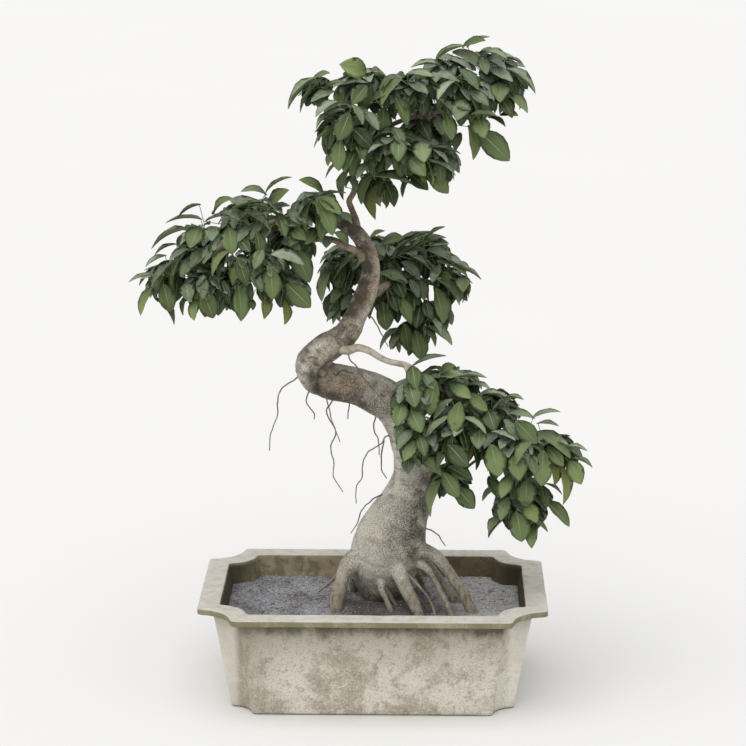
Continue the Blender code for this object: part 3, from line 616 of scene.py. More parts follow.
def make_planter(material):
    """Rings up the leaning outside, round the lip and down the inside to the floor, then given wear by
    noise.
    """
    lip_x, lip_y = POT_HALF
    _, foot_x, foot_y, _ = body_ring(0)
    foot = ((0.0, FOOT_EASE), (0.0007, 0.0007))
    rows = [(z, foot_x - inset, foot_y - inset, FOOT_NOTCH) for z, inset in foot]
    rows += [body_ring(z) for z in np.linspace(FOOT_EASE, BODY_TOP - 0.0012, 44)]

    def round_arris(first, last, level, side, half_x, half_y, notch, back=1):
        """Four rows round an arris from a first to a last angle in degrees, its middle ARRIS off level."""
        for turn in np.radians(np.linspace(first, last, 4)):
            out = back * ARRIS * (1 - math.cos(turn))
            rows.append((level + ARRIS * (side + math.sin(turn)), half_x - out, half_y - out, notch))

    _, top_x, top_y, top_notch = body_ring(BODY_TOP)
    for share in (0.06, 0.3, 0.55, 0.8):
        step = share * LIP_OVERHANG
        rows.append((BODY_TOP, top_x + step, top_y + step, top_notch + share * (LIP_NOTCH - top_notch)))
    round_arris(-90, 0, BODY_TOP, 1, lip_x, lip_y, LIP_NOTCH)
    rows += [(z, lip_x, lip_y, LIP_NOTCH) for z in (BODY_TOP + 0.0035, BODY_TOP + 0.0055)]
    round_arris(0, 90, POT_HEIGHT, -1, lip_x, lip_y, LIP_NOTCH)
    _, in_x, in_y, in_notch = body_ring(POT_HEIGHT, WALL)
    rim_out = np.array([lip_x - ARRIS, lip_y - ARRIS, LIP_NOTCH])
    rim_in = np.array([in_x + ARRIS, in_y + ARRIS, in_notch])
    rows += [(POT_HEIGHT, *(rim_out + share * (rim_in - rim_out))) for share in (0.12, 0.3, 0.5, 0.7, 0.88)]
    round_arris(90, 0, POT_HEIGHT, -1, in_x, in_y, in_notch, -1)
    inner_from = len(rows) - 1
    heights = np.append(np.linspace(POT_HEIGHT - 0.004, 0.118, 13), (0.09, 0.06, 0.035, FLOOR))
    rows += [body_ring(z, WALL) for z in heights]
    rings = np.stack([notched_ring(*row) for row in rows])
    mesh = new_mesh("pot", closed_rings(rings))
    places = points_of(mesh)
    outward = normals_of(mesh)
    columns = rings.shape[1]
    inside = np.zeros(len(places))
    inside[inner_from * columns : len(rows) * columns] = 1.0
    inside[-1] = 1.0
    wear = 0.00045 * roughness_of(places, 0.045, 3, 4) + 0.00022 * roughness_of(places, 0.006, 11, 3)
    chips = np.clip(noise(places / 0.009, 21) - 0.52, 0, 1) * np.clip(noise(places / 0.05, 23) + 0.35, 0, 1)
    near_lip = np.clip((places[:, 2] - 0.1455) / 0.002, 0, 1)
    wear = np.minimum(wear - 0.0035 * chips * near_lip, 0.0006)
    wear[places[:, 2] < 0.0005] = 0.0  # the foot that it rests on
    move_points(mesh, places + outward * wear[:, None])
    mark(mesh, "inside", inside)
    drills = []
    for x in (-DRAIN_X, DRAIN_X):
        route = np.array([[x, 0, z, DRAIN_RADIUS] for z in (-0.01, 0.004, 0.03)])
        drill = bpy.data.objects.new("drill", new_mesh("drill", tube(route, 32)))
        bpy.context.scene.collection.objects.link(drill)
        drills.append(drill)
    cut = {"operation": "DIFFERENCE", "solver": "EXACT"}
    drilled = with_modifiers(mesh, *(("BOOLEAN", {**cut, "object": drill}) for drill in drills))
    for drill in drills:
        bpy.data.objects.remove(drill)
    drilled.set_sharp_from_angle(angle=math.radians(50))
    return piece("planter", drilled, material, "cast_stone", "pot")


def make_soil(material):
    """Shrinking copies of the planter's inside, lifted by noise, over a flat bottom; grains lie on top."""
    _, half_x, half_y, notch = body_ring(SOIL_LEVEL, WALL + 0.0004)
    edge = notched_ring(0, half_x, half_y, notch, easing=1)
    shares = np.append(np.linspace(1, 0.1, 64), [0.05, 0.02])
    top = edge[None] * shares[:, None, None]
    flat = top.reshape(-1, 3)
    flat[:, 2] = SOIL_LEVEL + surface_rise(flat)
    _, low_x, low_y, low_notch = body_ring(SCREEN_TOP, WALL + 0.0004)
    low = [(SCREEN_TOP, low_x * s, low_y * s, low_notch * s) for s in (0.05, 0.5, 1.0)]
    low.append(body_ring(0.07, WALL + 0.0004))
    sides = [notched_ring(*ring, easing=1) for ring in low]
    rings = np.concatenate([np.stack(sides), top])
    ground = closed_rings(rings)

    rng = np.random.default_rng(41)
    places = rng.uniform((-half_x, -half_y), (half_x, half_y), (GRAIN_COUNT, 2)) * 0.985
    corner = np.abs(places) - (half_x, half_y)
    places = places[np.linalg.norm(np.minimum(corner, 0), axis=1) > notch + 0.002]
    count = len(places)
    size = rng.uniform(0.0007, 0.0017, count) * np.where(rng.random(count) < 0.08, 1.5, 1.0)
    ball, triples = icosahedron()
    lumps = ball[None] * rng.uniform(0.65, 1.3, (count, 12, 1)) * (size[:, None, None] * (1, 1, 0.75))
    middle = np.column_stack([places, np.zeros(count)])
    middle[:, 2] = SOIL_LEVEL + surface_rise(middle) + 0.25 * size
    grains = (lumps + middle[:, None]).reshape(-1, 3)
    faces = (triples[None] + 12 * np.arange(count)[:, None, None]).reshape(-1, 3)
    mesh = new_mesh("soil", joined([ground, (grains, np.empty((0, 4), int), faces)]))
    pale = np.where(rng.random(count) < 0.10, rng.uniform(0.5, 1.0, count), 0.0)
    mark(mesh, "pale", np.append(np.zeros(len(ground[0])), np.repeat(pale, 12)))
    return piece("soil_bed", mesh, material, "soil", "soil")


def icosahedron():
    """Its twelve corners, (0, +-1, +-golden ratio) turned about the axes, and its triangles facing out."""
    golden = (1 + 5**0.5) / 2
    knots = [(0, a, b * golden) for a in (-1, 1) for b in (-1, 1)]
    ball = unit(np.array([tuple(np.roll(knot, k)) for k in range(3) for knot in knots], float))
    apart = np.linalg.norm(ball[:, None] - ball[None], axis=2)
    near = (apart > 0.1) & (apart < 1.2)
    threes = itertools.combinations(range(12), 3)
    triples = np.array([(a, b, c) for a, b, c in threes if near[a, b] and near[b, c] and near[a, c]])
    first, second, third = ball[triples.T]
    facing = (np.cross(second - first, third - first) * (first + second + third)).sum(axis=1)
    triples[facing < 0] = triples[facing < 0][:, ::-1]
    return ball, triples


def surface_rise(places):
    """How far the soil stands above its level: slow humps, grit, and a low mound round the trunk."""
    flat = places * (1, 1, 0)
    mound = 0.004 * np.exp(-((places[:, 0] - 0.04) ** 2 + (places[:, 1] - 0.01) ** 2) / 0.008)
    grit = 0.0007 * roughness_of(flat, 0.006, 33, 3)
    return 0.0016 * roughness_of(flat, 0.055, 31, 2) + grit + mound - 0.0012


# ------------------------------------------------------------------------------------ the wood

# Routes are (x, y, z, radius) from the middle of the soil's surface, each from its thick end.

TRUNK_ROUTE = [
    (0.009, 0.034, -0.016, 0.020), (0.010, 0.034, 0.004, 0.031), (0.012, 0.035, 0.028, 0.043),
    (0.016, 0.036, 0.051, 0.0515), (0.021, 0.036, 0.076, 0.0550), (0.027, 0.036, 0.100, 0.0515),
    (0.0375, 0.036, 0.128, 0.0425), (0.0495, 0.036, 0.156, 0.0345), (0.0565, 0.036, 0.183, 0.0305),
    (0.0570, 0.036, 0.222, 0.0298), (0.048, 0.036, 0.261, 0.0310), (0.029, 0.036, 0.291, 0.0300),
    (0.004, 0.035, 0.308, 0.0285), (-0.029, 0.030, 0.323, 0.0275), (-0.059, 0.018, 0.332, 0.0270),
    (-0.082, 0.004, 0.346, 0.0262), (-0.086, -0.006, 0.365, 0.0252), (-0.0745, -0.012, 0.383, 0.0222),
    (-0.0545, -0.014, 0.398, 0.0200), (-0.0360, -0.014, 0.415, 0.0182), (-0.0265, -0.012, 0.434, 0.0165),
    (-0.014, -0.008, 0.462, 0.0155), (-0.005, -0.004, 0.492, 0.0135), (-0.006, -0.002, 0.518, 0.0125),
    (-0.015, 0.000, 0.540, 0.0120), (-0.030, 0.000, 0.559, 0.0112), (-0.051, 0.000, 0.570, 0.0080),
]
LIMB_ROUTE = [
    (-0.030, 0.000, 0.559, 0.0112), (-0.051, 0.000, 0.570, 0.0080), (-0.074, 0.000, 0.577, 0.0058),
    (-0.104, -0.005, 0.579, 0.0050), (-0.140, -0.010, 0.571, 0.0042), (-0.182, -0.010, 0.554, 0.0036),
    (-0.232, -0.010, 0.522, 0.0032), (-0.283, -0.010, 0.488, 0.0028),
]
SURFACE_ROOTS = [
    [
        (-0.008, 0.028, 0.072, 0.024), (-0.031, 0.010, 0.063, 0.016), (-0.044, -0.002, 0.047, 0.0108),
        (-0.049, -0.012, 0.033, 0.0103), (-0.053, -0.020, 0.017, 0.0099), (-0.055, -0.028, 0.001, 0.0088),
        (-0.056, -0.034, -0.014, 0.0073),
    ],
    [
        (0.028, 0.014, 0.076, 0.022), (0.035, -0.008, 0.057, 0.0125), (0.047, -0.028, 0.034, 0.0102),
        (0.056, -0.040, 0.020, 0.0098), (0.066, -0.053, 0.003, 0.0084), (0.073, -0.063, -0.013, 0.0070),
    ],
    [
        (0.048, 0.022, 0.088, 0.022), (0.072, 0.010, 0.081, 0.0120), (0.086, 0.003, 0.078, 0.0090),
        (0.098, -0.005, 0.068, 0.0088), (0.109, -0.012, 0.054, 0.0088), (0.120, -0.019, 0.040, 0.0088),
        (0.131, -0.026, 0.024, 0.0088), (0.143, -0.035, 0.002, 0.0080), (0.149, -0.040, -0.014, 0.0070),
    ],
    [
        (0.050, 0.046, 0.066, 0.018), (0.073, 0.038, 0.054, 0.0095), (0.088, 0.030, 0.040, 0.0078),
        (0.103, 0.022, 0.022, 0.0078), (0.116, 0.015, 0.008, 0.0080), (0.130, 0.009, -0.013, 0.0066),
    ],
    [
        (0.048, 0.022, 0.058, 0.0120), (0.066, 0.006, 0.060, 0.0070), (0.079, -0.006, 0.055, 0.0050),
        (0.089, -0.018, 0.044, 0.0046), (0.098, -0.030, 0.029, 0.0046), (0.107, -0.042, 0.015, 0.0044),
        (0.116, -0.057, -0.010, 0.0038),
    ],
    [
        (-0.012, 0.050, 0.056, 0.014), (-0.029, 0.054, 0.035, 0.0075), (-0.032, 0.056, 0.015, 0.0062),
        (-0.030, 0.056, -0.014, 0.0056),
    ],
    [
        (0.012, 0.002, 0.046, 0.0090), (0.012, -0.018, 0.028, 0.0052), (0.018, -0.027, 0.017, 0.0046),
        (0.024, -0.037, 0.005, 0.0042), (0.030, -0.048, -0.012, 0.0036),
    ],
    [
        (0.030, 0.062, 0.062, 0.020), (0.036, 0.086, 0.042, 0.0100), (0.040, 0.098, 0.018, 0.0082),
        (0.042, 0.104, -0.013, 0.0066),
    ],
    [(0.056, 0.052, 0.042, 0.0080), (0.070, 0.047, 0.018, 0.0050), (0.076, 0.042, -0.010, 0.0040)],
]
ROOTLETS = [
    [
        (-0.036, 0.014, 0.050, 0.0050), (-0.052, 0.030, 0.036, 0.0034), (-0.066, 0.044, 0.018, 0.0024),
        (-0.080, 0.052, 0.004, 0.0016), (-0.088, 0.056, -0.006, 0.0012),
    ],
    [(-0.040, 0.000, 0.046, 0.0050), (-0.041, 0.006, 0.024, 0.0022), (-0.042, 0.008, -0.008, 0.0018)],
    [(0.012, -0.008, 0.034, 0.0052), (0.026, -0.012, 0.013, 0.0034), (0.040, -0.015, -0.010, 0.0024)],
    [
        (0.040, -0.010, 0.056, 0.0040), (0.062, -0.022, 0.040, 0.0020), (0.083, -0.042, 0.018, 0.0018),
        (0.093, -0.060, -0.009, 0.0016),
    ],
]
BRANCHES = {
    "top": [
        [
            (-0.022, 0.000, 0.550, 0.0066), (-0.026, 0.000, 0.573, 0.0048), (-0.032, 0.000, 0.589, 0.0043),
            (-0.035, 0.000, 0.600, 0.0042), (-0.029, 0.000, 0.611, 0.0043), (-0.027, 0.000, 0.622, 0.0044),
            (-0.031, 0.000, 0.640, 0.0042), (-0.035, 0.000, 0.656, 0.0041), (-0.031, 0.002, 0.680, 0.0038),
            (-0.024, 0.008, 0.706, 0.0035), (-0.014, 0.020, 0.736, 0.0030),
        ],
        [(-0.030, 0.003, 0.684, 0.0034), (-0.044, -0.003, 0.715, 0.0032), (-0.066, -0.003, 0.742, 0.0028)],
        [
            (-0.033, 0.001, 0.668, 0.0038), (-0.002, 0.000, 0.694, 0.0036), (0.044, 0.000, 0.716, 0.0033),
            (0.093, 0.002, 0.727, 0.0031), (0.150, 0.004, 0.742, 0.0028),
        ],
    ],
    "left": [
        [
            (-0.008, -0.003, 0.514, 0.0075), (-0.024, -0.012, 0.530, 0.0055),
            (-0.041, -0.017, 0.538, 0.0047), (-0.056, -0.019, 0.547, 0.0043),
            (-0.074, -0.019, 0.549, 0.0040), (-0.095, -0.018, 0.543, 0.0036),
            (-0.120, -0.022, 0.530, 0.0033), (-0.148, -0.034, 0.515, 0.0030),
            (-0.185, -0.040, 0.500, 0.0027),
        ],
    ],
    "right": [
        [
            (-0.054, -0.014, 0.395, 0.0110), (-0.038, -0.030, 0.390, 0.0072),
            (-0.022, -0.036, 0.395, 0.0056), (-0.006, -0.037, 0.391, 0.0050),
            (0.008, -0.037, 0.382, 0.0047), (0.020, -0.037, 0.376, 0.0045), (0.033, -0.037, 0.373, 0.0044),
            (0.046, -0.037, 0.370, 0.0043), (0.060, -0.038, 0.362, 0.0040), (0.095, -0.040, 0.338, 0.0039),
            (0.138, -0.042, 0.312, 0.0037), (0.188, -0.042, 0.281, 0.0034), (0.240, -0.040, 0.246, 0.0030),
        ],
        [(0.046, -0.037, 0.370, 0.0040), (0.056, -0.050, 0.344, 0.0034), (0.067, -0.062, 0.300, 0.0030)],
        [
            (0.130, -0.042, 0.316, 0.0036), (0.162, -0.045, 0.280, 0.0033), (0.193, -0.048, 0.228, 0.0030),
            (0.208, -0.048, 0.190, 0.0027),
        ],
    ],
    "back": [
        [
            (-0.016, -0.008, 0.456, 0.0100), (0.000, 0.022, 0.462, 0.0072), (0.018, 0.058, 0.466, 0.0056),
            (0.036, 0.088, 0.466, 0.0048), (0.064, 0.105, 0.464, 0.0041), (0.094, 0.106, 0.456, 0.0036),
        ],
        [(0.012, 0.046, 0.465, 0.0048), (-0.006, 0.072, 0.468, 0.0040), (-0.038, 0.088, 0.464, 0.0032)],
        [(0.036, 0.088, 0.466, 0.0042), (0.044, 0.092, 0.437, 0.0037), (0.055, 0.097, 0.396, 0.0030)],
    ],
}
AERIAL_ROOTS = {
    "knee_left": [
        [
            (-0.100, -0.004, 0.352), (-0.114, 0.000, 0.339), (-0.133, 0.000, 0.325), (-0.139, 0.000, 0.306),
            (-0.139, 0.000, 0.286), (-0.149, 0.000, 0.260), (-0.151, 0.000, 0.233),
        ],
    ],
    "knee_short": [
        [(-0.088, 0.004, 0.332), (-0.098, 0.004, 0.306), (-0.086, 0.004, 0.288), (-0.086, 0.004, 0.279)],
    ],
    "knee_front": [
        [
            (-0.078, -0.006, 0.350), (-0.075, -0.026, 0.338), (-0.066, -0.024, 0.312),
            (-0.059, -0.020, 0.282), (-0.048, -0.018, 0.251),
        ],
    ],
    "long": [
        [
            (-0.050, 0.018, 0.318), (-0.063, 0.018, 0.299), (-0.069, 0.018, 0.285), (-0.056, 0.018, 0.256),
            (-0.063, 0.018, 0.234), (-0.059, 0.018, 0.210), (-0.059, 0.018, 0.188), (-0.046, 0.018, 0.166),
        ],
    ],
    "stub": [[(-0.034, 0.030, 0.312), (-0.037, 0.030, 0.290), (-0.039, 0.030, 0.273)]],
    "middle": [
        [(0.005, 0.034, 0.288), (-0.001, 0.034, 0.258), (0.006, 0.034, 0.238), (0.007, 0.034, 0.218)],
    ],
    "forked": [
        [
            (0.036, 0.034, 0.246), (0.018, 0.030, 0.247), (0.010, 0.030, 0.236), (-0.010, 0.030, 0.222),
            (-0.017, 0.030, 0.205), (-0.018, 0.030, 0.185), (-0.026, 0.030, 0.170), (-0.027, 0.030, 0.144),
        ],
        [(0.014, 0.030, 0.241), (0.010, 0.030, 0.214), (0.011, 0.030, 0.196), (0.018, 0.030, 0.183)],
    ],
    "slope": [
        [
            (0.026, 0.030, 0.163), (-0.002, 0.026, 0.153), (-0.020, 0.026, 0.133), (-0.024, 0.026, 0.117),
            (-0.035, 0.026, 0.100),
        ],
    ],
    "right": [[(0.066, 0.036, 0.108), (0.084, 0.036, 0.102), (0.096, 0.036, 0.092), (0.104, 0.036, 0.078)]],
    "bridge": [
        [
            (-0.036, -0.031, 0.390), (-0.034, -0.040, 0.380), (-0.024, -0.030, 0.366),
            (-0.012, -0.008, 0.341), (0.001, -0.003, 0.324), (0.021, -0.003, 0.300),
        ],
    ],
    "behind": [
        [(-0.018, -0.006, 0.444), (0.000, 0.012, 0.424), (0.011, 0.018, 0.402), (0.020, 0.020, 0.384)],
    ],
}
AERIAL_RADIUS = (0.0012, 0.0007)
TWIG_HOST_RADIUS = 0.0065
TWIG_SHORTEST = 0.024
TWIG_RADIUS = 0.0020
TWIG_DROP = 0.15
PAD_WOOD = {"left": ("limb", "left"), "top": ("top",), "right": ("right",), "back": ("back",)}

# Leaf masses: (x, y, z) of the middle and the half sizes along X, Y and Z.
LEAF_MASSES = {
    "left": [
        (-0.297, -0.010, 0.484, 0.046, 0.045, 0.043), (-0.246, 0.030, 0.523, 0.055, 0.050, 0.049),
        (-0.226, -0.048, 0.480, 0.051, 0.045, 0.042), (-0.177, 0.028, 0.560, 0.054, 0.050, 0.049),
        (-0.163, -0.058, 0.502, 0.051, 0.045, 0.051), (-0.117, 0.022, 0.536, 0.046, 0.050, 0.054),
        (-0.115, -0.036, 0.482, 0.038, 0.045, 0.045), (-0.078, -0.028, 0.588, 0.040, 0.042, 0.038),
    ],
    "top": [
        (-0.082, 0.000, 0.750, 0.038, 0.042, 0.031), (-0.038, -0.038, 0.708, 0.046, 0.046, 0.050),
        (-0.017, 0.036, 0.752, 0.048, 0.050, 0.040), (0.026, -0.040, 0.670, 0.048, 0.050, 0.045),
        (0.050, -0.018, 0.752, 0.048, 0.050, 0.040), (0.076, 0.044, 0.696, 0.051, 0.055, 0.049),
        (0.104, 0.050, 0.770, 0.045, 0.045, 0.036), (0.128, -0.036, 0.748, 0.047, 0.050, 0.047),
        (0.179, 0.018, 0.764, 0.045, 0.055, 0.060), (0.090, -0.022, 0.656, 0.036, 0.042, 0.037),
        (0.003, 0.006, 0.615, 0.028, 0.035, 0.037),
    ],
    "right": [
        (0.057, -0.060, 0.327, 0.038, 0.042, 0.045), (0.066, -0.074, 0.268, 0.038, 0.042, 0.047),
        (0.108, -0.018, 0.333, 0.049, 0.050, 0.037), (0.123, -0.064, 0.277, 0.050, 0.050, 0.050),
        (0.176, -0.022, 0.300, 0.049, 0.050, 0.037), (0.197, -0.070, 0.248, 0.052, 0.048, 0.050),
        (0.258, -0.032, 0.238, 0.049, 0.050, 0.044), (0.110, -0.058, 0.206, 0.036, 0.040, 0.035),
        (0.214, -0.034, 0.166, 0.049, 0.050, 0.050),
    ],
    "back": [
        (-0.048, 0.090, 0.481, 0.036, 0.045, 0.044), (-0.050, 0.100, 0.428, 0.029, 0.036, 0.030),
        (0.012, 0.126, 0.496, 0.046, 0.048, 0.036), (0.071, 0.134, 0.490, 0.050, 0.048, 0.040),
        (0.113, 0.096, 0.458, 0.038, 0.048, 0.044), (0.034, 0.086, 0.440, 0.044, 0.046, 0.045),
        (0.086, 0.092, 0.410, 0.041, 0.045, 0.041), (0.052, 0.104, 0.378, 0.035, 0.036, 0.030),
    ],
}
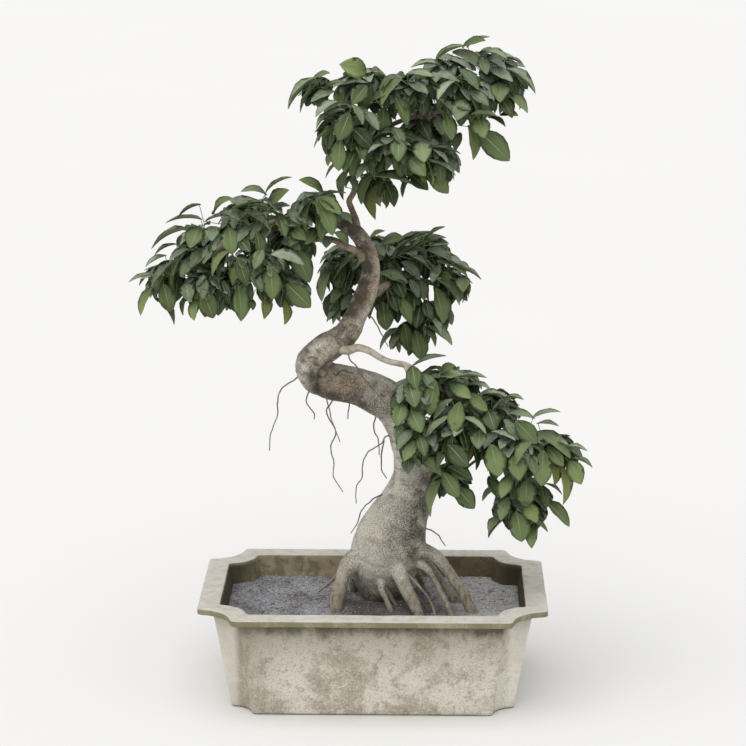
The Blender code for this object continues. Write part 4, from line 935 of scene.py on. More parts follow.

# Leaves laid one by one on the front of their mass: stalk end and tip (x, y, z above the planter's
# foot) and half width as seen from the front, in millimetres; paleness and yellowing, 0 to 9.
LAID_LEAVES = {
    "leaves_left_1": [
        (-305, -52, 629, -344, -56, 619, 4.6, 6, 0), (-289, -51, 657, -319, -61, 642, 3.9, 7, 0),
        (-310, -56, 613, -328, -56, 571, 9.3, 8, 1), (-279, -53, 649, -315, -53, 596, 7.0, 6, 0),
        (-267, -56, 660, -279, -56, 602, 7.7, 8, 0), (-296, -53, 618, -285, -53, 575, 12.4, 6, 0),
        (-309, -51, 595, -281, -51, 556, 6.2, 4, 1), (-271, -52, 635, -284, -52, 592, 7.7, 5, 0),
        (-254, -45, 655, -269, -65, 628, 9.3, 5, 0),
    ],
    "leaves_left_2": [
        (-258, -54, 695, -311, -54, 666, 3.9, 7, 0), (-275, -46, 672, -307, -56, 657, 3.1, 3, 0),
        (-238, -53, 708, -291, -53, 703, 3.8, 6, 0), (-243, -46, 698, -256, -66, 670, 13.9, 6, 0),
        (-224, -46, 698, -225, -66, 680, 10.8, 6, 0), (-219, -45, 681, -224, -65, 657, 6.9, 5, 0),
        (-256, -45, 664, -285, -65, 650, 6.2, 5, 0), (-240, -48, 729, -273, -56, 711, 3.1, 4, 0),
        (-274, -45, 668, -267, -55, 686, 4.6, 2, 0), (-203, -45, 688, -224, -65, 666, 9.2, 5, 0),
        (-223, -45, 674, -237, -65, 647, 9.3, 5, 0), (-234, -44, 666, -257, -63, 641, 10.0, 4, 0),
    ],
    "leaves_left_3": [
        (-200, -77, 669, -224, -77, 631, 7.7, 7, 3), (-238, -80, 616, -223, -80, 573, 13.8, 3, 2),
        (-249, -70, 599, -249, -90, 572, 7.7, 8, 0), (-259, -63, 606, -266, -73, 575, 4.6, 3, 0),
        (-209, -71, 651, -213, -81, 616, 4.6, 5, 0), (-262, -66, 619, -255, -86, 597, 10.8, 3, 0),
        (-214, -71, 628, -201, -89, 595, 9.2, 2, 0),
    ],
    "leaves_left_4": [
        (-224, -46, 714, -194, -66, 741, 6.2, 6, 0), (-216, -54, 718, -171, -54, 699, 9.2, 7, 1),
        (-199, -54, 722, -152, -54, 733, 4.6, 7, 0), (-148, -47, 742, -184, -65, 750, 6.1, 6, 0),
        (-150, -54, 747, -112, -54, 769, 3.8, 7, 0), (-147, -47, 726, -116, -64, 753, 9.2, 6, 1),
        (-179, -54, 718, -142, -54, 688, 6.1, 7, 1), (-202, -51, 698, -197, -65, 661, 15.4, 8, 0),
        (-141, -44, 699, -155, -64, 675, 7.7, 4, 0), (-237, -49, 704, -201, -58, 715, 4.6, 5, 0),
        (-188, -45, 703, -153, -65, 719, 6.2, 5, 0), (-177, -51, 728, -135, -51, 719, 4.6, 4, 0),
        (-157, -44, 736, -126, -64, 718, 6.1, 4, 0), (-152, -45, 708, -171, -65, 681, 9.2, 5, 0),
        (-184, -44, 693, -157, -64, 671, 9.2, 4, 0), (-169, -45, 702, -189, -65, 677, 9.2, 5, 0),
        (-193, -45, 694, -175, -65, 721, 6.2, 5, 0),
    ],
    "leaves_left_5": [
        (-163, -73, 697, -157, -73, 654, 9.2, 5, 0), (-153, -78, 672, -164, -98, 647, 9.2, 4, 2),
        (-188, -87, 660, -174, -94, 622, 10.7, 4, 0), (-143, -76, 664, -95, -76, 649, 9.2, 5, 1),
        (-141, -91, 649, -139, -91, 603, 13.8, 6, 1), (-153, -79, 613, -152, -89, 574, 9.2, 5, 4),
        (-189, -85, 629, -184, -85, 570, 13.8, 7, 0), (-169, -80, 602, -167, -90, 587, 4.6, 4, 0),
        (-186, -61, 682, -170, -81, 668, 9.2, 3, 0), (-169, -83, 642, -153, -103, 615, 9.2, 2, 0),
    ],
    "leaves_left_6": [
        (-64, -27, 679, -66, -47, 667, 9.3, 5, 0), (-125, -42, 682, -101, -62, 667, 9.2, 3, 0),
        (-118, -45, 699, -93, -65, 682, 10.8, 5, 1), (-146, -49, 718, -115, -58, 729, 4.6, 5, 0),
        (-129, -42, 704, -101, -62, 702, 7.7, 3, 0), (-134, -45, 717, -122, -65, 686, 10.0, 5, 0),
        (-102, -44, 697, -116, -64, 673, 10.8, 4, 0), (-92, -26, 682, -103, -46, 655, 12.4, 4, 0),
    ],
    "leaves_left_7": [
        (-113, -53, 671, -89, -53, 619, 15.4, 5, 0), (-122, -70, 622, -87, -70, 587, 15.4, 5, 1),
        (-125, -57, 598, -124, -75, 563, 7.7, 6, 7),
    ],
    "leaves_left_8": [
        (-78, -59, 742, -44, -59, 718, 10.7, 8, 0), (-80, -63, 741, -56, -63, 688, 13.8, 7, 0),
        (-84, -62, 741, -92, -62, 689, 7.6, 6, 1), (-78, -52, 741, -104, -61, 715, 4.6, 3, 0),
        (-70, -31, 743, -104, -46, 764, 7.7, 7, 1), (-80, -46, 742, -107, -56, 736, 4.6, 4, 0),
        (-75, -40, 739, -37, -49, 746, 2.3, 6, 0), (-80, -60, 729, -74, -60, 677, 10.7, 5, 1),
        (-35, -28, 669, -55, -48, 690, 7.7, 6, 0), (-54, -33, 714, -29, -53, 703, 6.2, 5, 1),
        (-120, -45, 722, -98, -65, 704, 9.2, 5, 0), (-109, -50, 716, -84, -70, 703, 7.7, 5, 0),
        (-80, -42, 696, -94, -62, 675, 9.2, 6, 0),
    ],
    "leaves_top_1": [
        (-78, -32, 905, -119, -32, 860, 6.1, 7, 0), (-85, -20, 902, -60, -30, 911, 4.6, 6, 0),
        (-71, -30, 901, -102, -30, 855, 4.6, 2, 0), (-53, -25, 885, -87, -44, 872, 7.6, 5, 0),
        (-73, -20, 883, -40, -30, 899, 4.6, 6, 0),
    ],
    "leaves_top_2": [
        (-32, -72, 862, -47, -79, 824, 13.6, 5, 0), (-45, -68, 826, -47, -68, 780, 12.1, 7, 0),
        (-48, -54, 875, -79, -71, 855, 7.6, 6, 0), (-37, -64, 864, -74, -69, 848, 4.5, 3, 0),
        (-55, -65, 841, -82, -71, 812, 3.8, 7, 0), (-54, -64, 863, -78, -74, 840, 3.8, 7, 0),
        (-28, -43, 800, -67, -43, 765, 3.1, 5, 0), (-30, -61, 872, -14, -81, 846, 7.6, 5, 0),
        (-12, -50, 861, 8, -70, 837, 9.1, 4, 0), (10, -44, 849, -5, -64, 825, 7.6, 2, 0),
        (-30, -66, 841, 0, -66, 811, 12.1, 2, 0), (-27, -55, 812, -40, -72, 779, 9.1, 6, 0),
        (-17, -43, 808, -29, -43, 767, 9.9, 5, 0), (-23, -58, 826, -12, -78, 796, 9.9, 4, 0),
        (-52, -50, 808, -62, -70, 787, 6.1, 6, 0),
    ],
    "leaves_top_3": [
        (-10, -30, 911, -47, -45, 925, 15.2, 9, 2), (13, -21, 863, 15, -31, 824, 12.2, 7, 0),
        (-10, -16, 893, -30, -36, 868, 12.2, 6, 0),
    ],
    "leaves_top_4": [
        (-5, -51, 791, -22, -71, 770, 7.6, 6, 0), (0, -70, 773, 56, -70, 761, 7.6, 5, 0),
        (55, -41, 771, 41, -51, 740, 4.6, 4, 0), (49, -60, 799, 73, -80, 775, 12.2, 6, 0),
        (66, -54, 819, 71, -74, 793, 13.7, 8, 1), (36, -71, 826, 35, -91, 797, 12.1, 6, 0),
        (28, -58, 840, 43, -78, 816, 9.1, 3, 0), (18, -71, 818, -7, -81, 807, 4.5, 6, 0),
        (-1, -56, 814, -18, -76, 797, 7.6, 3, 0),
    ],
    "leaves_top_5": [
        (46, -39, 912, 85, -54, 908, 7.6, 8, 0), (41, -55, 907, 11, -55, 868, 9.1, 8, 0),
        (32, -44, 912, 9, -44, 876, 6.1, 4, 0), (29, -54, 882, 47, -54, 841, 10.6, 6, 0),
        (47, -45, 902, 76, -65, 887, 9.1, 4, 0), (-6, -33, 868, 27, -52, 888, 6.1, 4, 0),
    ],
    "leaves_top_6": [
        (88, -15, 849, 97, -35, 825, 9.2, 5, 0), (131, -25, 839, 139, -25, 789, 10.7, 7, 2),
        (121, -16, 827, 115, -36, 804, 7.7, 6, 0), (64, -10, 844, 79, -30, 817, 10.7, 1, 0),
    ],
    "leaves_top_7": [
        (108, -23, 940, 153, -23, 916, 10.7, 6, 0), (94, -25, 921, 51, -25, 918, 6.1, 7, 0),
        (85, -26, 927, 128, -26, 949, 3.8, 8, 0),
    ],
    "leaves_top_8": [
        (133, -67, 857, 172, -76, 857, 4.5, 8, 0), (126, -69, 880, 115, -89, 854, 13.6, 6, 0),
        (114, -62, 905, 89, -82, 881, 7.5, 8, 0), (100, -53, 860, 109, -66, 823, 10.6, 7, 0),
        (144, -53, 855, 153, -73, 827, 13.6, 8, 0), (76, -49, 910, 121, -49, 901, 7.6, 3, 0),
        (118, -59, 921, 145, -72, 893, 9.0, 4, 0), (132, -63, 891, 159, -83, 873, 9.0, 3, 0),
        (91, -57, 879, 109, -77, 864, 6.0, 2, 0), (112, -66, 874, 134, -86, 868, 7.5, 3, 0),
        (134, -64, 873, 122, -84, 851, 7.5, 2, 0),
    ],
    "leaves_top_9": [
        (129, 10, 941, 162, 0, 958, 3.8, 7, 0), (122, -15, 944, 155, -35, 957, 7.6, 5, 0),
        (145, 27, 929, 170, 16, 938, 3.8, 5, 0), (151, -18, 938, 185, -38, 932, 6.1, 7, 0),
        (181, 9, 927, 209, -1, 919, 2.3, 3, 0), (159, -15, 927, 183, -35, 918, 6.1, 5, 0),
        (183, -23, 917, 225, -23, 882, 7.6, 6, 0), (185, -23, 884, 214, -31, 856, 9.2, 8, 0),
        (176, -21, 898, 175, -41, 872, 13.7, 7, 0), (175, -16, 851, 201, -36, 853, 6.1, 6, 0),
        (150, -15, 932, 157, -35, 910, 9.1, 5, 0), (145, -31, 832, 190, -31, 789, 17.6, 6, 0),
        (158, -16, 848, 184, -26, 836, 4.6, 3, 0), (160, -18, 915, 193, -37, 900, 9.1, 5, 0),
        (175, -13, 879, 193, -32, 849, 10.7, 3, 2), (182, -19, 914, 197, -24, 875, 9.1, 2, 0),
        (165, 25, 929, 131, 5, 923, 6.1, 5, 0),
    ],
    "leaves_top_10": [
        (53, -22, 767, 77, -42, 749, 10.8, 4, 0), (75, -49, 776, 105, -49, 746, 12.2, 5, 2),
        (76, -53, 791, 82, -63, 759, 3.8, 8, 3), (77, -58, 793, 115, -58, 772, 6.1, 7, 2),
        (82, -49, 808, 104, -59, 790, 4.6, 5, 0), (77, -47, 810, 122, -47, 801, 4.6, 5, 0),
        (55, -22, 820, 94, -31, 809, 9.2, 3, 0),
    ],
    "leaves_top_11": [
        (-33, -25, 777, -42, -25, 731, 7.7, 7, 0), (-1, -25, 770, -17, -25, 725, 9.2, 7, 0),
        (6, -22, 754, 3, -22, 703, 9.3, 5, 5), (15, -15, 758, 29, -27, 722, 9.3, 3, 0),
        (-39, -18, 747, -30, -29, 767, 4.6, 5, 2), (-37, -15, 765, -24, -35, 747, 6.2, 5, 0),
    ],
    "leaves_right_1": [
        (54, -64, 501, 104, -64, 517, 3.9, 4, 0), (55, -74, 505, 61, -94, 475, 11.6, 5, 0),
        (51, -85, 481, 60, -105, 452, 14.6, 5, 0), (89, -85, 487, 80, -85, 435, 13.1, 7, 0),
        (70, -69, 493, 87, -89, 474, 9.3, 4, 0), (42, -82, 454, 34, -102, 424, 13.1, 7, 0),
    ],
    "leaves_right_2": [
        (108, -97, 438, 73, -97, 405, 6.9, 9, 0), (61, -98, 380, 98, -98, 350, 10.1, 6, 0),
        (51, -88, 375, 50, -108, 356, 9.3, 4, 0), (62, -101, 404, 44, -121, 378, 10.0, 7, 0),
        (58, -96, 419, 35, -114, 392, 8.5, 5, 0), (66, -99, 412, 74, -119, 385, 9.3, 4, 0),
        (53, -90, 445, 69, -110, 417, 13.9, 6, 0), (40, -84, 424, 33, -104, 403, 8.5, 5, 0),
        (80, -89, 405, 103, -99, 416, 4.6, 2, 0),
    ],
    "leaves_right_3": [
        (65, -56, 485, 98, -66, 500, 3.1, 3, 0), (90, -66, 488, 132, -66, 487, 7.8, 8, 0),
        (94, -56, 488, 116, -76, 506, 6.2, 6, 0), (114, -63, 483, 161, -63, 485, 3.9, 6, 0),
        (133, -60, 474, 166, -70, 470, 4.7, 6, 0), (107, -60, 476, 139, -77, 459, 10.9, 8, 0),
        (132, -60, 462, 162, -73, 439, 10.9, 7, 1), (139, -60, 484, 99, -66, 481, 3.1, 5, 0),
    ],
    "leaves_right_4": [
        (123, -98, 460, 114, -98, 414, 13.1, 8, 0), (113, -78, 458, 86, -88, 429, 7.0, 6, 0),
        (127, -99, 437, 160, -107, 414, 5.4, 9, 0), (151, -92, 417, 148, -112, 394, 12.3, 6, 0),
        (162, -61, 439, 173, -81, 412, 14.0, 4, 0), (106, -99, 398, 135, -99, 365, 13.9, 4, 0),
        (106, -83, 389, 92, -103, 363, 7.8, 4, 0), (137, -91, 401, 146, -91, 357, 7.7, 1, 0),
    ],
    "leaves_right_5": [
        (149, -64, 461, 192, -64, 455, 4.7, 7, 0), (184, -60, 454, 213, -70, 455, 2.3, 6, 0),
        (197, -55, 453, 169, -65, 438, 3.1, 2, 0), (189, -64, 433, 230, -66, 426, 5.4, 7, 0),
        (179, -51, 439, 201, -71, 425, 6.2, 2, 0),
    ],
    "leaves_right_6": [
        (224, -78, 430, 265, -78, 440, 3.9, 7, 0), (200, -91, 431, 232, -91, 397, 13.9, 6, 0),
        (240, -93, 389, 239, -93, 335, 14.7, 8, 0), (225, -110, 405, 200, -110, 367, 8.5, 8, 0),
        (199, -104, 386, 206, -121, 351, 14.6, 7, 0), (166, -91, 414, 201, -110, 406, 6.2, 6, 0),
        (166, -108, 401, 178, -108, 353, 16.2, 8, 0), (196, -89, 352, 181, -107, 321, 10.1, 8, 0),
        (164, -67, 342, 178, -87, 315, 9.4, 4, 0), (184, -97, 404, 179, -117, 396, 6.9, 7, 0),
        (185, -81, 430, 205, -101, 404, 9.3, 3, 0), (221, -93, 382, 230, -113, 357, 9.3, 4, 2),
    ],
    "leaves_right_7": [
        (231, -61, 418, 263, -71, 417, 3.1, 7, 0), (230, -68, 408, 281, -68, 369, 12.4, 7, 0),
        (259, -59, 391, 277, -69, 389, 3.1, 4, 0), (270, -61, 384, 304, -71, 381, 3.9, 7, 0),
        (282, -57, 366, 312, -67, 355, 3.1, 4, 0), (279, -60, 365, 296, -76, 333, 13.3, 8, 1),
        (264, -64, 357, 271, -64, 299, 9.4, 7, 9), (254, -63, 367, 257, -81, 332, 7.8, 5, 6),
        (247, -66, 386, 270, -85, 362, 10.9, 6, 1),
    ],
    "leaves_right_8": [
        (105, -80, 360, 142, -85, 341, 10.9, 4, 0), (98, -91, 355, 122, -91, 317, 12.4, 6, 0),
        (115, -78, 331, 145, -78, 297, 14.0, 5, 0), (100, -82, 345, 82, -82, 285, 8.6, 7, 0),
    ],
    "leaves_right_9": [
        (219, -68, 340, 217, -75, 299, 14.8, 7, 0), (193, -65, 312, 182, -85, 281, 10.2, 8, 1),
        (217, -69, 303, 234, -89, 280, 11.7, 8, 4), (204, -72, 294, 213, -72, 246, 15.7, 7, 0),
        (232, -59, 271, 227, -78, 238, 9.4, 8, 1), (220, -60, 276, 250, -70, 260, 4.7, 4, 0),
        (245, -63, 305, 281, -63, 266, 11.0, 6, 0), (183, -58, 280, 165, -78, 262, 6.3, 7, 0),
        (190, -57, 277, 165, -65, 249, 3.9, 3, 0), (177, -55, 323, 156, -65, 304, 4.7, 2, 0),
        (244, -54, 328, 270, -63, 313, 3.1, 1, 0), (238, -53, 327, 247, -73, 296, 9.4, 3, 0),
        (207, -56, 335, 198, -76, 309, 9.4, 3, 0),
    ],
    "leaves_back_1": [
        (-43, 62, 650, -80, 62, 622, 5.6, 8, 0), (-58, 65, 626, -83, 55, 609, 3.2, 6, 0),
        (-25, 54, 639, -60, 54, 596, 5.6, 6, 0), (-63, 62, 614, -77, 62, 566, 8.8, 8, 0),
        (-47, 69, 588, -63, 49, 567, 8.8, 8, 0), (-41, 59, 628, -50, 53, 588, 9.5, 3, 0),
        (-34, 68, 643, -65, 58, 632, 4.8, 4, 0),
    ],
    "leaves_back_2": [
        (-34, 80, 576, -48, 60, 554, 8.8, 6, 0), (-50, 76, 555, -70, 66, 535, 4.8, 7, 0),
        (-38, 77, 561, -61, 63, 532, 6.4, 5, 0),
    ],
    "leaves_back_3": [
        (-10, 80, 652, 15, 70, 670, 4.8, 6, 0), (9, 83, 648, 43, 62, 661, 9.6, 7, 0),
        (26, 79, 627, 54, 72, 657, 4.8, 6, 0), (4, 84, 649, 14, 64, 634, 8.0, 6, 1),
        (18, 89, 621, 40, 69, 603, 9.6, 2, 0),
    ],
    "leaves_back_4": [
        (26, 77, 630, 83, 77, 668, 4.8, 6, 0), (57, 77, 646, 104, 77, 659, 5.6, 6, 0),
        (71, 81, 654, 102, 72, 676, 2.4, 5, 0), (80, 80, 646, 108, 70, 651, 4.0, 6, 0),
        (31, 77, 631, 77, 77, 639, 7.2, 6, 0), (73, 75, 641, 125, 75, 612, 8.8, 7, 0),
        (50, 77, 632, 90, 77, 598, 7.2, 6, 0), (38, 86, 622, 66, 73, 596, 9.6, 2, 0),
        (32, 80, 648, 66, 71, 666, 4.8, 6, 0), (46, 78, 637, 96, 78, 653, 4.8, 5, 0),
        (66, 82, 667, 43, 71, 650, 4.0, 5, 0), (87, 85, 631, 112, 65, 625, 6.4, 5, 0),
    ],
    "leaves_back_5": [
        (88, 65, 627, 135, 65, 603, 7.2, 7, 0), (113, 69, 617, 155, 69, 598, 4.8, 6, 0),
        (73, 78, 624, 95, 71, 592, 4.0, 7, 0), (87, 55, 604, 123, 55, 563, 7.1, 8, 0),
        (111, 66, 600, 124, 46, 571, 7.9, 4, 0), (128, 66, 604, 128, 46, 585, 11.1, 7, 0),
        (80, 79, 597, 79, 69, 566, 4.0, 7, 4), (95, 79, 618, 83, 59, 596, 8.0, 6, 0),
        (94, 70, 605, 112, 50, 605, 8.0, 5, 0), (93, 84, 628, 127, 64, 620, 6.4, 6, 0),
        (117, 76, 624, 138, 66, 610, 4.8, 6, 0),
    ],
    "leaves_back_6": [
        (7, 63, 610, 49, 63, 594, 9.6, 6, 1), (34, 50, 579, 53, 50, 537, 11.1, 6, 1),
        (10, 58, 570, 17, 58, 525, 13.5, 5, 0), (15, 51, 595, 15, 51, 549, 4.0, 7, 0),
        (2, 75, 570, -7, 55, 542, 7.2, 5, 0), (65, 77, 598, 72, 57, 570, 9.6, 3, 0),
        (50, 70, 599, 63, 50, 575, 8.0, 2, 0), (22, 60, 586, 34, 40, 556, 11.1, 2, 0),
        (19, 73, 613, 13, 53, 582, 9.6, 3, 0), (30, 64, 600, 43, 44, 576, 11.1, 2, 0),
    ],
    "leaves_back_7": [
        (87, 63, 589, 100, 63, 534, 14.3, 6, 1), (77, 59, 532, 113, 59, 503, 8.0, 7, 1),
        (73, 61, 548, 97, 43, 521, 7.2, 6, 0), (71, 66, 526, 88, 56, 501, 4.8, 6, 0),
        (73, 71, 569, 81, 51, 539, 9.6, 2, 0), (66, 74, 560, 60, 54, 529, 11.2, 2, 0),
    ],
    "leaves_back_8": [
        (58, 76, 523, 69, 76, 476, 13.6, 6, 1), (42, 76, 533, 50, 76, 488, 12.0, 5, 1),
        (38, 79, 524, 7, 79, 490, 4.8, 4, 0), (39, 85, 513, 23, 65, 494, 5.6, 5, 0),
    ],
}

TREE_BASE = np.array([0.0, 0.0, SOIL_LEVEL])


def planted(points):
    """Route rows moved from the soil's surface to the planter's foot."""
    return [(x, y, z + SOIL_LEVEL, *rest) for x, y, z, *rest in points]


def nearest_on(route, places):
    """For each place the route row nearest to it, and its distance."""
    best = np.empty(len(places), int)
    for start in range(0, len(places), 20000):
        part = places[start : start + 20000]
        gaps = ((part[:, None] - route[None, :, :3]) ** 2).sum(axis=2) / route[None, :, 3] ** 2
        best[start : start + 20000] = gaps.argmin(axis=1)
    return best, np.linalg.norm(places - route[best, :3], axis=1)


SKIN_VOXEL = 0.0019
TRUNK_STEP = 0.004
FRONT = np.array(CAMERA_PLACE) - CAMERA_AIM
FRONT /= np.linalg.norm(FRONT)

CRACK_WIDTH = 0.0009
# Lines drawn on the trunk's front, as (x, z) on the plane y = 0. A row of painted shade and stains, of
# rust, or of painted light and wear is a line, its width and its depth.
VALLEY = [
    (-0.0471, 0.5036), (-0.0572, 0.4918), (-0.0680, 0.4828), (-0.0753, 0.4754), (-0.0789, 0.4650),
    (-0.0795, 0.4546), (-0.0790, 0.4442),
]
CRACKS = [
    [(-0.0931, 0.4960), (-0.0902, 0.4985), (-0.0859, 0.4975), (-0.0816, 0.4961)],
    [
        (-0.0569, 0.4746), (-0.0539, 0.4715), (-0.0487, 0.4779), (-0.0435, 0.4804), (-0.0373, 0.4771),
        (-0.0301, 0.4758),
    ],
    [(0.0103, 0.4447), (0.0131, 0.4417), (0.0175, 0.4418)],
]
# Rows of painted shade under the bends and down the shaded sides, mixed with real stains.
SHADE_AND_STAINS = [
    (
        [
            (-0.0381, 0.6873), (-0.0254, 0.6801), (-0.0154, 0.6628), (-0.0112, 0.6441), (-0.0112, 0.6238),
            (-0.0155, 0.6034), (-0.0241, 0.5844), (-0.0355, 0.5668),
        ],
        0.0095, 1.7,
    ),
    ([(-0.0480, 0.6901), (-0.0253, 0.6873)], 0.0060, 1.2),
    ([(0.0784, 0.3314), (0.0743, 0.2861), (0.0702, 0.2404), (0.0732, 0.2130)], 0.013, 0.80),
    ([(-0.0904, 0.4709), (-0.0847, 0.4561), (-0.0718, 0.4443)], 0.009, 1.0),
    ([(-0.0589, 0.4384), (-0.0401, 0.4340), (-0.0229, 0.4297), (-0.0113, 0.4223)], 0.011, 1.0),
    ([(0.0002, 0.4610), (0.0146, 0.4536), (0.0290, 0.4478)], 0.009, 0.7),
    (
        [(0.0757, 0.3057), (0.0656, 0.2739), (0.0556, 0.2434), (0.0498, 0.2174), (0.0528, 0.1991)], 0.012,
        0.75,
    ),
    ([(-0.0169, 0.5830), (-0.0313, 0.5566), (-0.0456, 0.5389)], 0.009, 0.40),
    ([(-0.0315, 0.4415), (-0.0056, 0.4327), (0.0175, 0.4209)], 0.010, 0.35),
    ([(-0.0467, 0.1554), (-0.0541, 0.1322)], 0.006, 0.35),
]
RUST = [
    ([(-0.0559, 0.4681), (-0.0444, 0.4593), (-0.0343, 0.4519)], 0.017, 0.8),
    ([(-0.0013, 0.6557), (0.0016, 0.6267), (-0.0027, 0.5976), (-0.0170, 0.5684)], 0.006, 0.7),
    ([(0.0162, 0.2857), (0.0031, 0.2553), (-0.0086, 0.2171)], 0.010, 0.35),
]
# Rows of painted light on the lit sides and tops, which also give pale wear.
LIT_AND_WORN = [
    ([(-0.1019, 0.4679), (-0.1018, 0.4856), (-0.0916, 0.5034), (-0.0743, 0.5197)], 0.015, 1.0),
    ([(-0.0587, 0.4873), (-0.0343, 0.4800), (-0.0056, 0.4669), (0.0203, 0.4537)], 0.0080, 0.9),
    (
        [(0.0248, 0.3762), (0.0321, 0.3387), (0.0249, 0.3009), (0.0060, 0.2629), (-0.0085, 0.2323)], 0.019,
        1.1,
    ),
    ([(-0.0202, 0.2124), (-0.0115, 0.1941), (-0.0027, 0.1757)], 0.016, 0.8),
    ([(0.0030, 0.6383), (0.0044, 0.6049), (-0.0055, 0.5757), (-0.0227, 0.5464)], 0.0050, 0.75),
    ([(-0.0027, 0.2704), (-0.0144, 0.2399), (-0.0232, 0.2124), (-0.0291, 0.1848)], 0.012, 0.65),
    ([(0.0295, 0.1559), (0.0413, 0.1452), (0.0516, 0.1329), (0.0590, 0.1175)], 0.0050, 0.55),
    ([(-0.0257, 0.4712), (-0.0027, 0.4698), (0.0203, 0.4611), (0.0376, 0.4478)], 0.0060, 0.45),
    ([(-0.0310, 0.6902), (-0.0197, 0.6801), (-0.0112, 0.6686), (-0.0041, 0.6528)], 0.0040, 0.55),
]


def stroke(places, outward, line, width):
    """exp(-(d / width)^2) on the trunk's front, d being the distance from a line drawn on it."""
    rows = smooth_route([(x, 0.0, z, 1.0) for x, z in line], 0.0008)[:, :3]
    flat = places - np.outer(places @ FRONT, FRONT)
    rows = rows - np.outer(rows @ FRONT, FRONT)
    near = np.full(len(places), 9.0)
    box_low, box_high = rows.min(axis=0) - 3 * width, rows.max(axis=0) + 3 * width
    close = np.flatnonzero(((flat > box_low) & (flat < box_high)).all(axis=1) & (outward @ FRONT > -0.1))
    near[close] = np.sqrt(((flat[close][:, None] - rows[None]) ** 2).sum(axis=2).min(axis=1))
    return np.exp(-((near / width) ** 2)) * np.clip(outward @ FRONT * 2 + 0.4, 0, 1)


def make_trunk(material):
    """Tubes of the trunk and its surface roots grown into one skin, then shaped by noise.

    The skin moves along its normal by slow lumps, by shallow ribs that run along the wood, by
    wrinkles that run round it and are deepest on the bends, and by fine grit.
    """
    main = smooth_route(planted(TRUNK_ROUTE), TRUNK_STEP)
    shells = [tube(main, 44, 0.03, 5)]
    roots = [smooth_route(planted(points), 0.003) for points in SURFACE_ROOTS]
    shells += [tube(route, 20, 0.05, 60 + k) for k, route in enumerate(roots)]
    skin = with_modifiers(
        new_mesh("trunk", joined(shells)),
        ("REMESH", {"mode": "VOXEL", "voxel_size": SKIN_VOXEL}),
        ("SMOOTH", {"factor": 0.5, "iterations": 7}),
    )
    places = points_of(skin)
    outward = normals_of(skin)
    row, away = nearest_on(main, places)
    gone = np.append(0, np.cumsum(np.linalg.norm(np.diff(main[:, :3], axis=0), axis=1)))
    ahead = unit(np.gradient(main[:, :3], axis=0))
    turning = np.linalg.norm(np.gradient(ahead, axis=0), axis=1) / TRUNK_STEP
    bend = np.clip(turning / 22.0, 0, 1)[row]
    offset = places - main[row, :3]
    spoke = unit(offset - ahead[row] * (offset * ahead[row]).sum(axis=1, keepdims=True))
    thickness = main[row, 3]
    on_trunk = np.clip(1.6 - away / (1.25 * thickness), 0, 1)
    along = gone[row] + (offset * ahead[row]).sum(axis=1)
    ringed = np.column_stack([along / 0.0075, spoke[:, 0] * 1.1, spoke[:, 1] * 1.1 + spoke[:, 2] * 1.1])
    wrinkle = noise(ringed, 71) + 0.5 * noise(ringed * (2.3, 2.0, 2.0), 72)
    ribbed = np.column_stack([along / 0.09, spoke[:, 0] * 2.4, spoke[:, 1] * 2.4 + spoke[:, 2] * 1.3])
    ribs = noise(ribbed, 73) + 0.4 * noise(ribbed * 2.1, 74)
    lumps = roughness_of(places, 0.034, 75, 2)
    grit = roughness_of(places, 0.0055, 77, 2)
    rise = 0.0016 * lumps * np.clip(thickness / 0.03, 0.35, 1.2)
    rise += on_trunk * 0.045 * thickness * ribs
    wrinkled = on_trunk * (0.25 + bend)
    rise += -0.0011 * np.clip(wrinkle - 0.05, 0, 1) * wrinkled
    rise += 0.00045 * grit
    rise -= 0.0050 * stroke(places, outward, VALLEY, 0.0040)
    cracks = sum(stroke(places, outward, line, CRACK_WIDTH) for line in CRACKS)
    rise -= 0.0014 * cracks
    move_points(skin, places + outward * rise[:, None])

    def strokes(rows):
        return sum(depth * streaky * stroke(places, outward, line, width) for line, width, depth in rows)

    # Painted shade: the undersides, the grooves between the ribs and the valley are darkened, together with
    # the rows of shade and stains; the wood also darkens near the soil.
    under = np.clip(-outward[:, 2] - 0.1, 0, 1)
    blotch = np.clip(0.5 + roughness_of(places, 0.03, 81, 3), 0, 1)
    streaky = np.clip(0.75 + 0.9 * roughness_of(places, 0.016, 85, 3), 0.15, 1)
    above_soil = places[:, 2] - SOIL_LEVEL
    low_roots = np.clip(1 - above_soil / 0.012, 0, 1) * 0.45
    low_roots += on_trunk * np.clip(1 - above_soil / 0.045, 0, 1) * (0.45 + 0.5 * blotch)
    shade_and_stain = 0.45 * under * blotch + 0.5 * np.clip(-ribs - 0.25, 0, 1) + low_roots
    shade_and_stain += 0.5 * stroke(places, outward, VALLEY, 0.0042) + strokes(SHADE_AND_STAINS)
    rooty = np.clip(1.2 - 1.6 * on_trunk, 0, 1) * np.clip(1 - (above_soil - 0.05) / 0.04, 0, 1)
    # Painted shade in the folds of the wrinkles and in the cracks.
    folds = np.clip((wrinkle - 0.22) * 1.6, 0, 1) * np.clip(wrinkled * 1.3, 0, 1)
    mark(skin, "shade_and_stain", np.clip(shade_and_stain, 0, 0.92))
    mark(skin, "rust", np.clip(strokes(RUST), 0, 1))
    mark(skin, "lit_and_worn", np.clip(strokes(LIT_AND_WORN), 0, 1))
    mark(skin, "rooty", 0.72 * rooty)
    mark(skin, "crease_shade", np.clip(folds + 1.3 * cracks, 0, 1.3))
    return piece("trunk_wood", skin, material, "trunk_bark", "trunk")


def leaf_masses():
    """name -> (pad, middle, half sizes) of every leaf mass."""
    masses = {}
    for pad, rows in LEAF_MASSES.items():
        for number, row in enumerate(rows, 1):
            masses[f"leaves_{pad}_{number}"] = (pad, np.array(row[:3]) + TREE_BASE, np.array(row[3:]))
    return masses


